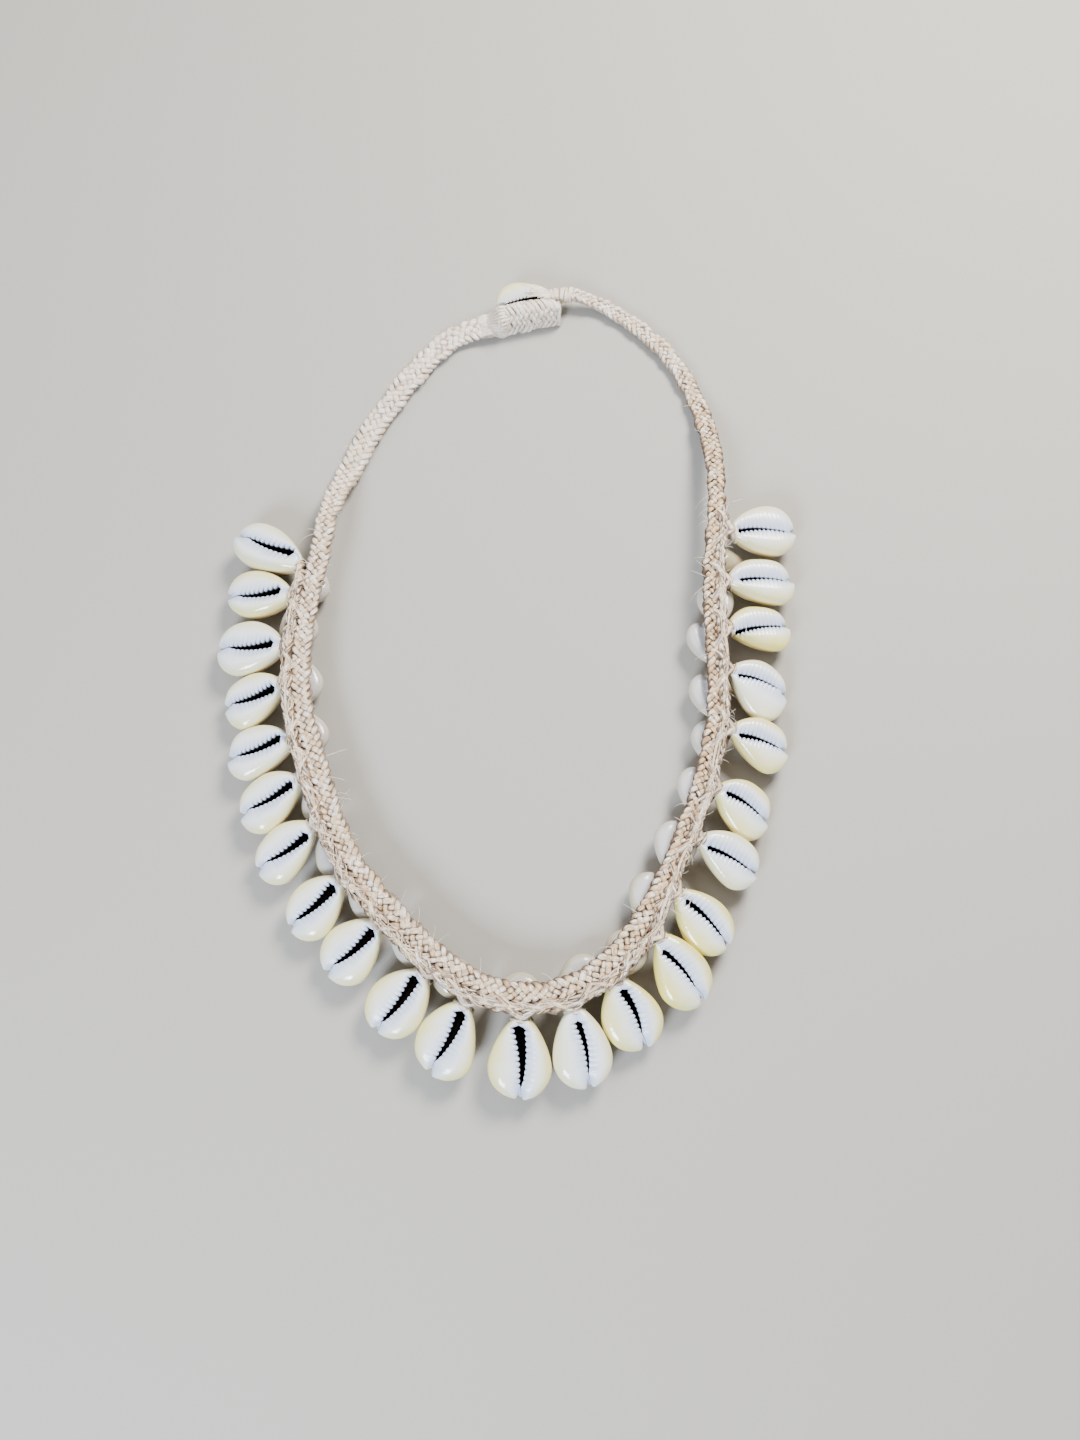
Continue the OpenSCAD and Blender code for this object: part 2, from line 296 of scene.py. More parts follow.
@dataclass
class Plait:
    """A flat plait of strands that run from edge to edge, over and under each other by a pattern.

    Spread and flat stretch a strand's width and thickness, and loose says how unevenly the strands lie.
    """

    strands: int
    pitch: float
    overs: str = "+-+-"
    spread: float = 1.04
    flat: float = 0.92
    seed: int = 1
    loose: float = 1.0
    sides: int = 10

    def weave(self, s: Array, half: Array, deep: Array) -> tuple[Array, Array, Array]:
        """Works out where each strand runs.

        A strand comes back to the same edge after one pitch, which is longer where the plait is wider. The
        place across is a triangle wave of the turns plus k / strands, with its corners rounded. At each
        crossing the height is 1 or -1 by the pattern of overs, at the edges 0, and it eases between them. The
        pattern read backwards has every sign changed.

        Args:
            s: Distances along the plait.
            half: Half the plait's width at each distance.
            deep: Its thickness at each distance.

        Returns:
            Place across, height, and width of a strand, each with a row for each strand.
        """
        n = self.strands
        pitch = self.pitch * (half / half.mean()) ** 0.4
        turn = (np.cumsum(np.gradient(s) / pitch)[None] + np.arange(n)[:, None] / n) % 1
        corner = 0.9
        across = -np.arcsin(corner * np.cos(2 * np.pi * turn)) / math.asin(corner)
        share = turn * 2 % 1
        level = np.array([0.0, *(1.0 if sign == "+" else -1.0 for sign in self.overs), 0.0])
        cell = np.minimum((share * n).astype(int), n - 1)
        ease = smooth(0, 1, share * n - cell)
        slope = 4 * half / pitch
        width = self.spread * pitch / n * slope / np.sqrt(1 + slope**2)
        reach = half - width * 0.38
        height = (level[cell] * (1 - ease) + level[cell + 1] * ease) * deep / 4
        rng = np.random.default_rng(self.seed)
        phase = rng.uniform(0, 6.28, (2, n, 1))
        sway = 0.1 * np.sin(s / 2.3 + phase[0]) + 0.07 * np.sin(s / 0.83 + 3 * phase[1])
        wander = self.loose * width * sway
        height = height + self.loose * 0.06 * deep * np.sin(s / 1.7 + phase[1])
        return across * reach + wander, height, np.broadcast_to(width, across.shape)

    def onto(self, skin: Skin, s: Array, half: Array, deep: Array,
             place: Callable[[Array, Array, Array], Array], face: Callable[[Array, Array], Array],
             warm: Array | float) -> None:
        """Lays the strands on a surface.

        Args:
            skin: Where the strands go.
            s: Distances along the plait.
            half: Half the plait's width.
            deep: The plait's thickness.
            place: Gives a point from distance along, distance across and height.
            face: Gives the surface's direction from distance along and across.
            warm: How tan the fibre is at each distance.
        """
        across, height, width = self.weave(s, half, deep)
        along = np.broadcast_to(s, across.shape)
        rng = np.random.default_rng(self.seed)
        lump = 1 + 0.1 * self.loose * np.sin(along / 1.9 + rng.uniform(0, 6, (self.strands, 1)))
        shift = rng.uniform(0, 400, (self.strands, 1, 1, 3)) * np.array([1, 0.1, 0.1])
        # Painted shade: a strand is coloured darker where it dips under the others.
        low = 0.5 - 0.5 * height / np.maximum(deep / 4, 1e-6)
        tone = rng.uniform(0, 1, (self.strands, 1))
        skin.lay(place(along, across, height), face(along, across), width * lump, deep / 2 * self.flat * lump,
                 shift, (low, warm, tone), self.sides)


def upward(along: Array, across: Array) -> Array:
    """The direction of a surface that lies level, at any place."""
    return UP


# Finishes


@dataclass(frozen=True)
class Value:
    """A number socket that can stand in a Python expression."""

    graph: "Graph"
    socket: bpy.types.NodeSocket

    def _join(self, operation: str, first: "Value | float", second: "Value | float") -> "Value":
        """Adds a Math node for an operation on two numbers."""
        node = self.graph.node("ShaderNodeMath", {"operation": operation}, {0: first, 1: second})
        return Value(self.graph, node.outputs[0])

    def __add__(self, other: "Value | float") -> "Value":
        """self + other."""
        return self._join("ADD", self, other)

    __radd__ = __add__

    def __sub__(self, other: "Value | float") -> "Value":
        """self - other."""
        return self._join("SUBTRACT", self, other)

    def __rsub__(self, other: float) -> "Value":
        """other - self."""
        return self._join("SUBTRACT", other, self)

    def __mul__(self, other: "Value | float") -> "Value":
        """self * other."""
        return self._join("MULTIPLY", self, other)

    __rmul__ = __mul__

    def eased(self, low: float, high: float) -> "Value":
        """0 below low, 1 above high, and a smooth step between.

        Args:
            low: The number that gives 0.
            high: The number that gives 1.

        Returns:
            The eased number.
        """
        node = self.graph.node("ShaderNodeMapRange", {"interpolation_type": "SMOOTHSTEP"},
                               {"Value": self, "From Min": low, "From Max": high})
        return Value(self.graph, node.outputs[0])


class Graph:
    """A material's nodes, added one by one."""

    def __init__(self, name: str) -> None:
        """Starts an empty material with an output.

        Args:
            name: The material's name.
        """
        self.material = bpy.data.materials.new(name)
        self.material.use_nodes = True
        self.tree = self.material.node_tree
        self.tree.nodes.clear()
        self.out = self.tree.nodes.new("ShaderNodeOutputMaterial")

    def node(self, kind: str, settings: Mapping[str, object],
             sockets: Mapping[str | int, object]) -> bpy.types.Node:
        """Adds a node.

        Args:
            kind: The node's type.
            settings: What is set on the node itself, before its sockets.
            sockets: A number, a colour, a Value or another node's socket for each input, by name or number.

        Returns:
            The node.
        """
        node = self.tree.nodes.new(kind)
        for key, value in settings.items():
            setattr(node, key, value)
        for key, value in sockets.items():
            socket = node.inputs[key]
            if isinstance(value, Value):
                value = value.socket
            if isinstance(value, bpy.types.NodeSocket):
                self.tree.links.new(value, socket)
            else:
                socket.default_value = value
        return node

    def number(self, name: str, part: int | None = None) -> Value:
        """Reads a number that the mesh carries, or one part of a vector.

        Args:
            name: The name under which the mesh carries it.
            part: The vector's part, 0 to 2, if it is one.

        Returns:
            The number.
        """
        node = self.node("ShaderNodeAttribute", {"attribute_name": name}, {})
        if part is None:
            return Value(self, node.outputs["Fac"])
        split = self.node("ShaderNodeSeparateXYZ", {}, {0: node.outputs["Vector"]})
        return Value(self, split.outputs[part])

    def stretched(self, name: str, scale: tuple[float, float, float]) -> bpy.types.NodeSocket:
        """Reads a vector that the mesh carries, each part times a number.

        Args:
            name: The name under which the mesh carries it.
            scale: The three numbers.

        Returns:
            The stretched vector.
        """
        node = self.node("ShaderNodeAttribute", {"attribute_name": name}, {})
        sockets = {"Vector": node.outputs["Vector"], "Scale": scale}
        return self.node("ShaderNodeMapping", {}, sockets).outputs[0]

    def noise(self, place: bpy.types.NodeSocket, scale: float = 1.0, detail: float = 2.0,
              twist: float = 0.0) -> Value:
        """Adds noise at a place."""
        sockets = {"Vector": place, "Scale": scale, "Detail": detail, "Distortion": twist}
        return Value(self, self.node("ShaderNodeTexNoise", {}, sockets).outputs["Fac"])

    def mix(self, share: Value | float, first: object, second: object) -> bpy.types.NodeSocket:
        """Mixes two colours."""
        one, two = ((*colour, 1.0) if isinstance(colour, tuple) else colour for colour in (first, second))
        return self.node("ShaderNodeMix", {"data_type": "RGBA"}, {0: share, 6: one, 7: two}).outputs[2]

    def finish(self, constants: Mapping[str, object], **sockets: object) -> bpy.types.Material:
        """Adds the surface shader.

        Args:
            constants: Numbers and colours set on the shader's own sockets.
            **sockets: Links, with the socket's name in lower case and joined by underscores.

        Returns:
            The material.
        """
        links = {key.replace("_", " ").title(): value for key, value in sockets.items()}
        shader = self.node("ShaderNodeBsdfPrincipled", {}, {**constants, **links})
        self.tree.links.new(shader.outputs[0], self.out.inputs["Surface"])
        return self.material

    def bump(self, height: Value, distance: float, strength: float = 1.0) -> bpy.types.NodeSocket:
        """Turns a height between 0 and 1 into a normal, distance being its depth in metres."""
        node = self.node("ShaderNodeBump", {}, {"Height": height, "Distance": distance, "Strength": strength})
        return node.outputs[0]


@dataclass(frozen=True)
class Finish:
    """A finish with a name. Each is made once."""

    name: str

    def material(self) -> bpy.types.Material:
        """The finish's material."""
        return bpy.data.materials.get(self.name) or self.make()

    def make(self) -> bpy.types.Material:
        """Builds the material."""
        raise NotImplementedError


@dataclass(frozen=True)
class Shell(Finish):
    """Glossy cowrie shell: a white lip, bluish lilac near the mouth that is partly the shell's own lilac and
    partly painted cool reflection, a yellow or ivory rim edged by a thin painted golden reflection, a cream
    back, and a mouth coloured near black as painted shade.

    Each colour is named for its place, its hue or the light that it paints. Metal in the mouth takes the grey
    sheen off its painted black shade.
    """

    # Bluish lilac near the mouth: partly the shell's own lilac, partly painted cool reflection.
    lip: Colour = (0.53, 0.6, 0.78)
    pale: Colour = (0.78, 0.81, 0.82)
    ivory: Colour = (0.8, 0.76, 0.52)
    yolk: Colour = (0.8, 0.71, 0.17)
    # Painted reflection: a thin golden line just past the rim's edge.
    painted_rim_reflection: Colour = (0.5, 0.27, 0.07)
    back: Colour = (0.72, 0.66, 0.5)
    band: Colour = (0.5, 0.5, 0.42)
    # Painted shade: near black for the deep slit, the grooves between the teeth and the closed groove after
    # the mouth.
    painted_mouth_shade: Colour = (0.006, 0.004, 0.003)

    def make(self) -> bpy.types.Material:
        """Runs colours from the mouth's edge over the lip to the rim and the back, with soft clouds.

        Lip is how far a point lies from the mouth: 0 at the lip's edge, 1 at the rim and 2 under the back.
        Reach is the same, moved to and fro by the clouds.

        Returns:
            The material.
        """
        g = Graph(self.name)
        cloud = g.noise(g.stretched("lay", (0.22, 0.22, 0.22)), detail=3.0, twist=0.6)
        fine = g.noise(g.stretched("lay", (0.5, 1.6, 0.5)), detail=3.0)
        bands = g.noise(g.stretched("lay", (0.3, 0.03, 0.03)), detail=1.0)
        lip, yellow, mouth = g.number("lip"), g.number("yolk"), g.number("mouth")
        reach, glaze = lip + (cloud - 0.5) * 0.5, lip.eased(0.25, 0.8)
        rim = g.mix(yellow, self.ivory, self.yolk)
        # The lip turns from bluish lilac, partly painted cool reflection, to pale towards the rim.
        face = g.mix(reach.eased(0.05, 0.55), self.lip, self.pale)
        face = g.mix(reach.eased(0.5 - yellow * 0.25, 1.0) * (0.7 + yellow * 0.3), face, rim)
        # A thin golden line just past the rim: painted reflection.
        face = g.mix(lip.eased(1.02, 1.1) * 0.6, face, self.painted_rim_reflection)
        back = g.mix(bands.eased(0.5, 0.62) * 0.4, self.back, self.band)
        whole = g.mix(reach.eased(1.2, 1.7), face, back)
        whole = g.mix(fine.eased(0.3, 0.8) * 0.12, whole, self.back)
        return g.finish(
            {"Specular IOR Level": 0.5, "Coat Roughness": 0.05},
            # The mouth takes its painted black shade, with metal to take the grey sheen off it.
            coat_weight=(0.12 + glaze * 0.33) * (1 - mouth),
            base_color=g.mix(mouth, whole, self.painted_mouth_shade),
            metallic=mouth,
            roughness=0.3 - glaze * 0.17 + fine * 0.1 + mouth * 0.4,
            normal=g.bump(cloud * 0.6 + fine * 0.4, 0.00012, 0.7),
        )


@dataclass(frozen=True)
class Fibre(Finish):
    """Dry leaf fibre: fine streaks along each strand, painted shade where it dips, at its edges and on the
    core in its gaps, painted highlights on its crumples, whiter on the bare straps.
    """

    white: Colour = (0.92, 0.79, 0.66)
    cream: Colour = (0.9, 0.65, 0.37)
    tan: Colour = (0.45, 0.27, 0.14)
    # Painted shade: the colour for dips, strand edges, the core in the gaps and fine grooves.
    deep: Colour = (0.08, 0.04, 0.02)
    # Pale patches, and painted highlights on the crests of the crease bumps.
    glint_and_pale_patch: Colour = (0.98, 0.93, 0.87)

    def make(self) -> bpy.types.Material:
        """Mixes streaks, noise that is stretched along the straightened strand, with patches and creases.

        Returns:
            The material.
        """
        g = Graph(self.name)
        streak = g.noise(g.stretched("lay", (0.22, 2.0, 2.0)), detail=3.0)
        hair = g.noise(g.stretched("lay", (0.5, 7.0, 7.0)))
        patch = g.noise(g.stretched("lay", (0.33, 0.2, 0.2)))
        crease = g.noise(g.stretched("lay", (0.75, 0.9, 0.9)), twist=0.5)
        low, warm, tone = (g.number("fibre", part) for part in range(3))
        base = g.mix(warm, self.white, self.cream)
        base = g.mix((0.1 + warm * 0.55) * (1 - (patch + tone * 0.25).eased(0.42, 0.7)), base, self.tan)
        # Pale patches, with painted highlights where the crease bump is high.
        base = g.mix((patch * 0.6 + crease * 0.6).eased(0.58, 0.72), base, self.glint_and_pale_patch)
        base = g.mix(streak.eased(0.5, 0.64) * (0.25 + warm * 0.35), base, self.tan)
        # Tan in the troughs of the crease bump: painted shade in the crumples.
        base = g.mix((1 - crease).eased(0.5, 0.66) * (0.2 + warm * 0.35), base, self.tan)
        # Painted shade where the strand dips and at its edges, together with fine streaks along the hair
        # noise.
        painted_shade_and_streaks = low.eased(0.12, 0.72) + (1 - hair).eased(0.5, 0.64) * 0.35
        base = g.mix(painted_shade_and_streaks * (0.36 + warm * 0.64), base, self.deep)
        return g.finish(
            {"Specular IOR Level": 0.55},
            base_color=base, roughness=0.36 + hair * 0.25,
            normal=g.bump(streak * 0.4 + hair * 0.15 + crease * 0.45, 0.0011),
        )


@dataclass(frozen=True)
class Table(Finish):
    """A plain pale table top."""

    colour: Colour = (0.38, 0.365, 0.34)
    shade: Colour = (0.33, 0.32, 0.3)

    def make(self) -> bpy.types.Material:
        """Mixes one pale colour with barely any change over it.

        Returns:
            The material.
        """
        g = Graph(self.name)
        place = g.node("ShaderNodeTexCoord", {}, {}).outputs["Object"]
        return g.finish({}, base_color=g.mix(g.noise(place, 6.0) * 0.1, self.colour, self.shade),
                        roughness=0.7 + g.noise(place, 3.0) * 0.1)


SHELL = Shell("cowrie_shell")
# Under shells: the shell's colours darkened as painted shade, for they lie under the band.
SHADED_UNDER_SHELL = Shell("under_cowrie_shell", lip=(0.6, 0.58, 0.58), pale=(0.58, 0.57, 0.6),
                   ivory=(0.56, 0.52, 0.44), yolk=(0.42, 0.36, 0.2), back=(0.44, 0.38, 0.26))
# The button's mouth is painted a brown-black shade.
BUTTON_SHELL = Shell("button_cowrie_shell", lip=(0.74, 0.74, 0.72), painted_mouth_shade=(0.07, 0.035, 0.015))
PLAITED = Fibre("plaited_fibre")
LASHED = Fibre("lashed_fibre", white=(0.9, 0.8, 0.68), tan=(0.6, 0.42, 0.26), deep=(0.1, 0.045, 0.02))


# Shells


class Detail(Enum):
    """How finely a shell is cut: rings along it and points across each lip."""

    FULL = (128, 14)
    PLAIN = (56, 9)


@dataclass(frozen=True)
class Lip:
    """How one of a shell's two lips is carved, in millimetres.

    Way is its side of the shell, and phase says where its teeth begin. A tooth stands into the mouth by bite
    at most, and by no more than bite_share of the gape. Ridge is the height of the teeth's ridges, dip the
    depth that the lip rolls in, and the two last fields the painted shade in the grooves between the teeth.
    Each has its reach from the mouth.
    """

    way: int
    phase: float
    bite: float
    bite_share: float
    ridge: float
    ridge_reach: float
    dip: float
    dip_reach: float
    dip_power: float
    tooth_gap_shade: float
    tooth_gap_shade_reach: float


RIDGED_LIP = Lip(way=1, phase=0.0, bite=0.27, bite_share=0.12, ridge=0.13, ridge_reach=2.4, dip=0.85,
                 dip_reach=1.7, dip_power=1.4, tooth_gap_shade=0.75, tooth_gap_shade_reach=0.45)
TOOTHED_LIP = Lip(way=-1, phase=1.1, bite=0.4, bite_share=0.32, ridge=0.08, ridge_reach=0.9, dip=0.4,
                  dip_reach=0.5, dip_power=1.2, tooth_gap_shade=1.0, tooth_gap_shade_reach=0.4)
# The face's share of a ring's depth, and the gape from which a mouth is broad and narrows evenly.
FACE_DEPTH = 0.28
BROAD_MOUTH = 1.3


@dataclass(frozen=True)
class Rings:
    """What both halves of a shell share: one number for each ring, in millimetres where it isn't a share.

    t is the share of the length, middle and top are the heights of the ring's middle and of the face, deep is
    the depth from face to back, and waver the outline's unevenness. Narrow is half the breadth on the slimmer
    side. Line is the mouth's place across, opened how open it is, run the share of the way along it, shut how
    far it has closed, gape half its gap, and groove the closed line after its far end.
    """

    t: Array
    middle: Array
    top: Array
    deep: Array
    waver: Array
    narrow: Array
    line: Array
    opened: Array
    run: Array
    shut: Array
    gape: Array
    groove: Array


@dataclass
class Cowrie:
    """One cowrie with its narrow tip at x = 0, its broad end along +x and its mouth up, in millimetres.

    The mouth's two ends are given as shares of the length and of half the width. Gape is how wide the mouth
    is, bow how far it bends, lean how much fuller its one side is, teeth the number of waves along a lip,
    comb the height of the ridges, and yolk how yellow the rim is.
    """

    long: float
    wide: float
    high: float
    mouth_near: tuple[float, float] = (0.18, -0.1)
    mouth_far: tuple[float, float] = (0.84, -0.05)
    gape: float = 1.6
    bow: float = 0.06
    lean: float = 0.0
    teeth: int = 16
    comb: float = 0.5
    yolk: float = 0.5
    seed: int = 0
    detail: Detail = Detail.FULL

    def breadth(self, t: Array, way: float = 0.0) -> Array:
        """Half breadth as a share of its largest: two part ovals that meet where the shell is widest.

        Args:
            t: Shares of the length.
            way: The side, 1 or -1, or 0 for an even shell. Late, which is way times lean, says how much later
                that side is widest, and it runs straighter to there.

        Returns:
            (1 - x^a)^c before the widest place and (1 - x^2.05)^0.5 after it, x being the share of the way
            to it, times 1 + 0.07 late.
        """
        late = way * self.lean
        peak, a, c = 0.62 + 0.13 * late, 1.7 - 0.1 * late, 0.74 + 0.12 * late + 0.12 * abs(late)
        x = np.where(t < peak, 1 - t / peak, (t - peak) / (1 - peak))
        oval = np.where(t < peak, (1 - np.abs(x) ** a) ** c, (1 - np.abs(x) ** 2.05) ** 0.5)
        return oval * (1 + 0.07 * late)

    def face_drop(self, t: Array) -> Array:
        """How far the face bends down towards both ends.

        It is 0.17 (1 - t / 0.45)^3 before 0.45, and 0.22 ((t - 0.6) / 0.4)^3.5 after 0.6.

        Args:
            t: Shares of the length.

        Returns:
            Shares of the height.
        """
        near = 0.17 * np.abs(1 - t / 0.45) ** 3
        far = 0.22 * np.clip((t - 0.6) / 0.4, 0, 1) ** 3.5
        return np.where(t < 0.45, near, far)

    def back_reach(self, t: Array) -> Array:
        """How far the back hangs under the face's level.

        It is 1 - 0.66 (1 - t / 0.6)^2.2 before 0.6, and 1 - 0.6 ((t - 0.6) / 0.4)^2.2 after it.

        Args:
            t: Shares of the length.

        Returns:
            Shares of the height.
        """
        near = 1 - 0.66 * np.abs(1 - t / 0.6) ** 2.2
        far = 1 - 0.6 * np.clip((t - 0.6) / 0.4, 0, 1) ** 2.2
        return np.where(t < 0.6, near, far)

    def mouth_line(self, t: Array) -> Array:
        """Where the mouth runs across the shell: a straight line from end to end, and a sine for its bow.

        Args:
            t: Shares of the length.

        Returns:
            Shares of half the width.
        """
        (t0, y0), (t1, y1) = self.mouth_near, self.mouth_far
        u = np.clip((t - t0) / (t1 - t0), -0.3, 1.3)
        return y0 + (y1 - y0) * u + self.bow * np.sin(np.pi * np.clip(u, 0, 1)) * 1.5

    def rings(self, phase: float) -> Rings:
        """Works out what both halves of the shell share, with rings that lie closer at the two ends.

        Args:
            phase: Where the outline's slight waver begins.

        Returns:
            The shared numbers.
        """
        rows = self.detail.value[0]
        u = (np.arange(rows) + 0.5) / rows
        t = 0.62 * u + 0.38 * (0.5 - 0.5 * np.cos(np.pi * u))
        end = np.sqrt(np.clip(1 - (1 - np.minimum(np.minimum(t, 1 - t) / 0.055, 1)) ** 2, 0, 1))
        top, low = -self.face_drop(t) * self.high, -self.back_reach(t) * self.high
        middle, tall = (top + low) / 2, (top - low) / 2 * (0.25 + 0.75 * end)
        top, low = middle + tall, middle - tall
        narrow = np.minimum(self.breadth(t, 1), self.breadth(t, -1)) * self.wide / 2
        t0, t1 = self.mouth_near[0], self.mouth_far[0]
        opened = span(t0 - 0.025, t0 + 0.02, t1 - 0.1, t1 + 0.04, t)
        run = np.clip((t - t0) / (t1 - t0), 0, 1)
        broad = self.gape > BROAD_MOUTH
        shut = 0.76 * run if broad else 0.5 * smooth(0.2, 0.75, run)
        return Rings(
            t=t, middle=middle, top=top, deep=top - low, narrow=narrow, opened=opened, run=run, shut=shut,
            waver=1 + 0.015 * np.sin(7 * t + phase),
            line=np.clip(self.mouth_line(t) * self.wide / 2, -0.8 * narrow, 0.8 * narrow),
            gape=self.gape * (0.74 if broad else 0.8) * (1 - shut) * opened,
            groove=smooth(t1 - 0.1, t1, t),
        )

    def flank(self, lip: Lip, at: Rings) -> tuple[Array, Array, Array]:
        """Works out one half of every ring, from the mouth's floor over the lip and the rim to the back.

        The face is a flat oval, depth 0.28 (1 - sqrt(1 - q^5)), and the back a deep one,
        0.28 + 0.72 sqrt(1 - q^2.2), q being the share of half the breadth. Teeth are waves along the lip.

        Args:
            lip: The lip on this half.
            at: What both halves share.

        Returns:
            The points, how far over lip and back each is, and how much of the mouth's painted shade each
            takes. The toothed half runs backwards, from the back to the mouth, so that the two make a closed
            ring.
        """
        across, ridged = self.detail.value[1], lip is RIDGED_LIP
        half = self.wide / 2 * self.breadth(at.t, lip.way) * at.waver
        opened, top, deep = at.opened[:, None], at.top[:, None], at.deep[:, None]
        small = np.minimum(at.narrow / 3, 1)
        tooth = 2 * np.abs(np.sin(np.pi * self.teeth * at.t + lip.phase + self.seed)) ** 0.75 - 1
        bite = np.minimum(lip.bite * (1 - 0.4 * at.run), lip.bite_share * self.gape * (1 - at.shut))
        gap = np.clip(at.gape - bite * tooth * at.opened, 0.04, 0.5 * at.narrow + 0.02)
        edge = at.line + lip.way * gap
        y_in = at.line[:, None] + (edge - at.line)[:, None] * np.array([0.0, 0.6, 0.9])
        share = 0.5 - 0.5 * np.cos(np.pi * np.arange(across) / (across - 1))
        y_lip = edge[:, None] + (lip.way * half - edge)[:, None] * share
        q = np.clip(np.abs(y_lip) / np.maximum(half, 1e-6)[:, None], 0, 1)
        far = np.abs(y_lip - edge[:, None])
        ridge = tooth[:, None] * lip.ridge * (self.comb if ridged else 1) * np.exp(-far / lip.ridge_reach)
        dip = lip.dip * np.exp(-((far / lip.dip_reach) ** lip.dip_power))
        swell = 0.32 * np.sin(np.pi * share) ** 2
        carved = (0.25 + 0.75 * np.maximum(at.opened, 0.7 * at.groove))[:, None]
        z_lip = top - FACE_DEPTH * deep * (1 - np.sqrt(np.clip(1 - q**5, 0, 1)))
        z_lip = z_lip + (ridge * opened + swell - dip * carved) * small[:, None]
        floor = (2.8 * at.opened * min(self.gape, 1) + 0.55 * at.groove + 0.1) * small
        z_in = z_lip[:, :1] - floor[:, None] * np.array([1.0, 0.8, 0.35])
        bow = np.linspace(0, np.pi / 2, across)[1:]
        y_back = lip.way * half[:, None] * np.cos(bow) ** (2 / 2.2)
        z_back = top - deep * (FACE_DEPTH + (1 - FACE_DEPTH) * np.sin(bow))
        if not ridged:
            y_back, z_back, bow = y_back[:, :-1], z_back[:, :-1], bow[:-1]
            y_in, z_in = y_in[:, 1:], z_in[:, 1:]
        y, z = (np.concatenate(parts, 1) for parts in ((y_in, y_lip, y_back), (z_in, z_lip, z_back)))
        # The ridged half keeps the bluish lip colour further out, as painted cool reflection; the toothed
        # half turns pale sooner where the rim is yellower.
        tint = share**1.15 if ridged else share ** (1.0 - 0.35 * self.yolk)
        over = np.concatenate([np.zeros_like(y_in), np.broadcast_to(tint, y_lip.shape),
                               np.broadcast_to(1 + bow / (np.pi / 2), y_back.shape)], 1)
        shown, walls = min(self.gape / 0.5, 1), y_in.shape[1]
        # Painted shade: the mouth's walls and the closed groove after it are coloured near black, and so are
        # the grooves between the teeth by the lip's edge.
        painted_mouth_shade = np.zeros_like(y)
        painted_mouth_shade[:, :walls] = shown * (np.clip(opened * 4, 0, 1) + 0.5 * at.groove[:, None] * (1 - opened))
        between = (0.5 - 0.5 * tooth)[:, None] ** 1.4 * np.exp(-((far / lip.tooth_gap_shade_reach) ** 2))
        painted_mouth_shade[:, walls : walls + across] = shown * opened * between * lip.tooth_gap_shade
        points = np.stack([np.broadcast_to((at.t * self.long)[:, None], y.shape), y, z], -1)
        return (points, over, painted_mouth_shade) if ridged else (points[:, ::-1], over[:, ::-1], painted_mouth_shade[:, ::-1])

    def surface(self) -> tuple[Array, dict[str, Array], tuple[Array, Array]]:
        """Works out the whole shell as rings across its long axis, with the notch at its far end.

        Returns:
            The rings, the numbers that the finish reads, and the two poles.
        """
        rng = np.random.default_rng(self.seed + 7)
        at = self.rings(rng.uniform(0, 6))
        flanks = [self.flank(lip, at) for lip in (RIDGED_LIP, TOOTHED_LIP)]
        points, over, painted_mouth_shade = (np.concatenate(parts, 1) for parts in zip(*flanks))
        x, y, z = (points[..., k] for k in range(3))
        half = self.wide / 2
        nick = float(np.clip(self.mouth_line(np.array([0.97]))[0] * half * 0.6, -0.3 * half, 0.3 * half))
        near_end = smooth(0.8, 0.99, x / self.long)
        lift = smooth(-0.8 * self.high, -0.35 * self.high, z)
        lobes = (rng.uniform(-0.2, 0.2) + 0.5 * self.lean) * np.tanh((y - nick) / 1.2)
        points[..., 0] = x + near_end * (lobes - 1.9 * lift * np.exp(-(((y - nick) / 0.65) ** 2)))
        last = self.long - 1.4 * math.exp(-((nick / 0.6) ** 2))
        poles = (np.array([0.0, 0.0, at.middle[0]]), np.array([last, 0.0, at.middle[-1] - 0.2]))
        lay = points + np.random.default_rng(self.seed).uniform(0, 300, 3)
        return points, {"lip": over, "mouth": painted_mouth_shade, "yolk": np.full_like(over, self.yolk), "lay": lay}, poles

    def into(self, skin: Skin, origin: Array, axis: Array, side: Array) -> None:
        """Puts the shell into a skin.

        Args:
            skin: Where it goes.
            origin: Where its tip lies.
            axis: Where its long axis points.
            side: Where its +y points.
        """
        points, values, poles = self.surface()
        turn = np.stack([axis, side, np.cross(axis, side)])
        ends = tuple((origin + pole @ turn)[None] for pole in poles)
        skin.add((origin + points @ turn)[None], {key: value[None] for key, value in values.items()}, ends)


def sloped(heading: float, slope: float) -> tuple[Array, Array]:
    """Directions of a shell that slopes down from its tip.

    Args:
        heading: Where it points on the table, in degrees.
        slope: How far its axis dips, in degrees.

    Returns:
        Its long axis and its side.
    """
    a, t = math.radians(heading), math.radians(slope)
    axis = np.array([math.cos(a) * math.cos(t), math.sin(a) * math.cos(t), -math.sin(t)])
    return axis, np.array([-math.sin(a), math.cos(a), 0.0])


def heading_of(way: Array) -> float:
    """The direction of a flat vector in degrees."""
    return math.degrees(math.atan2(way[1], way[0]))


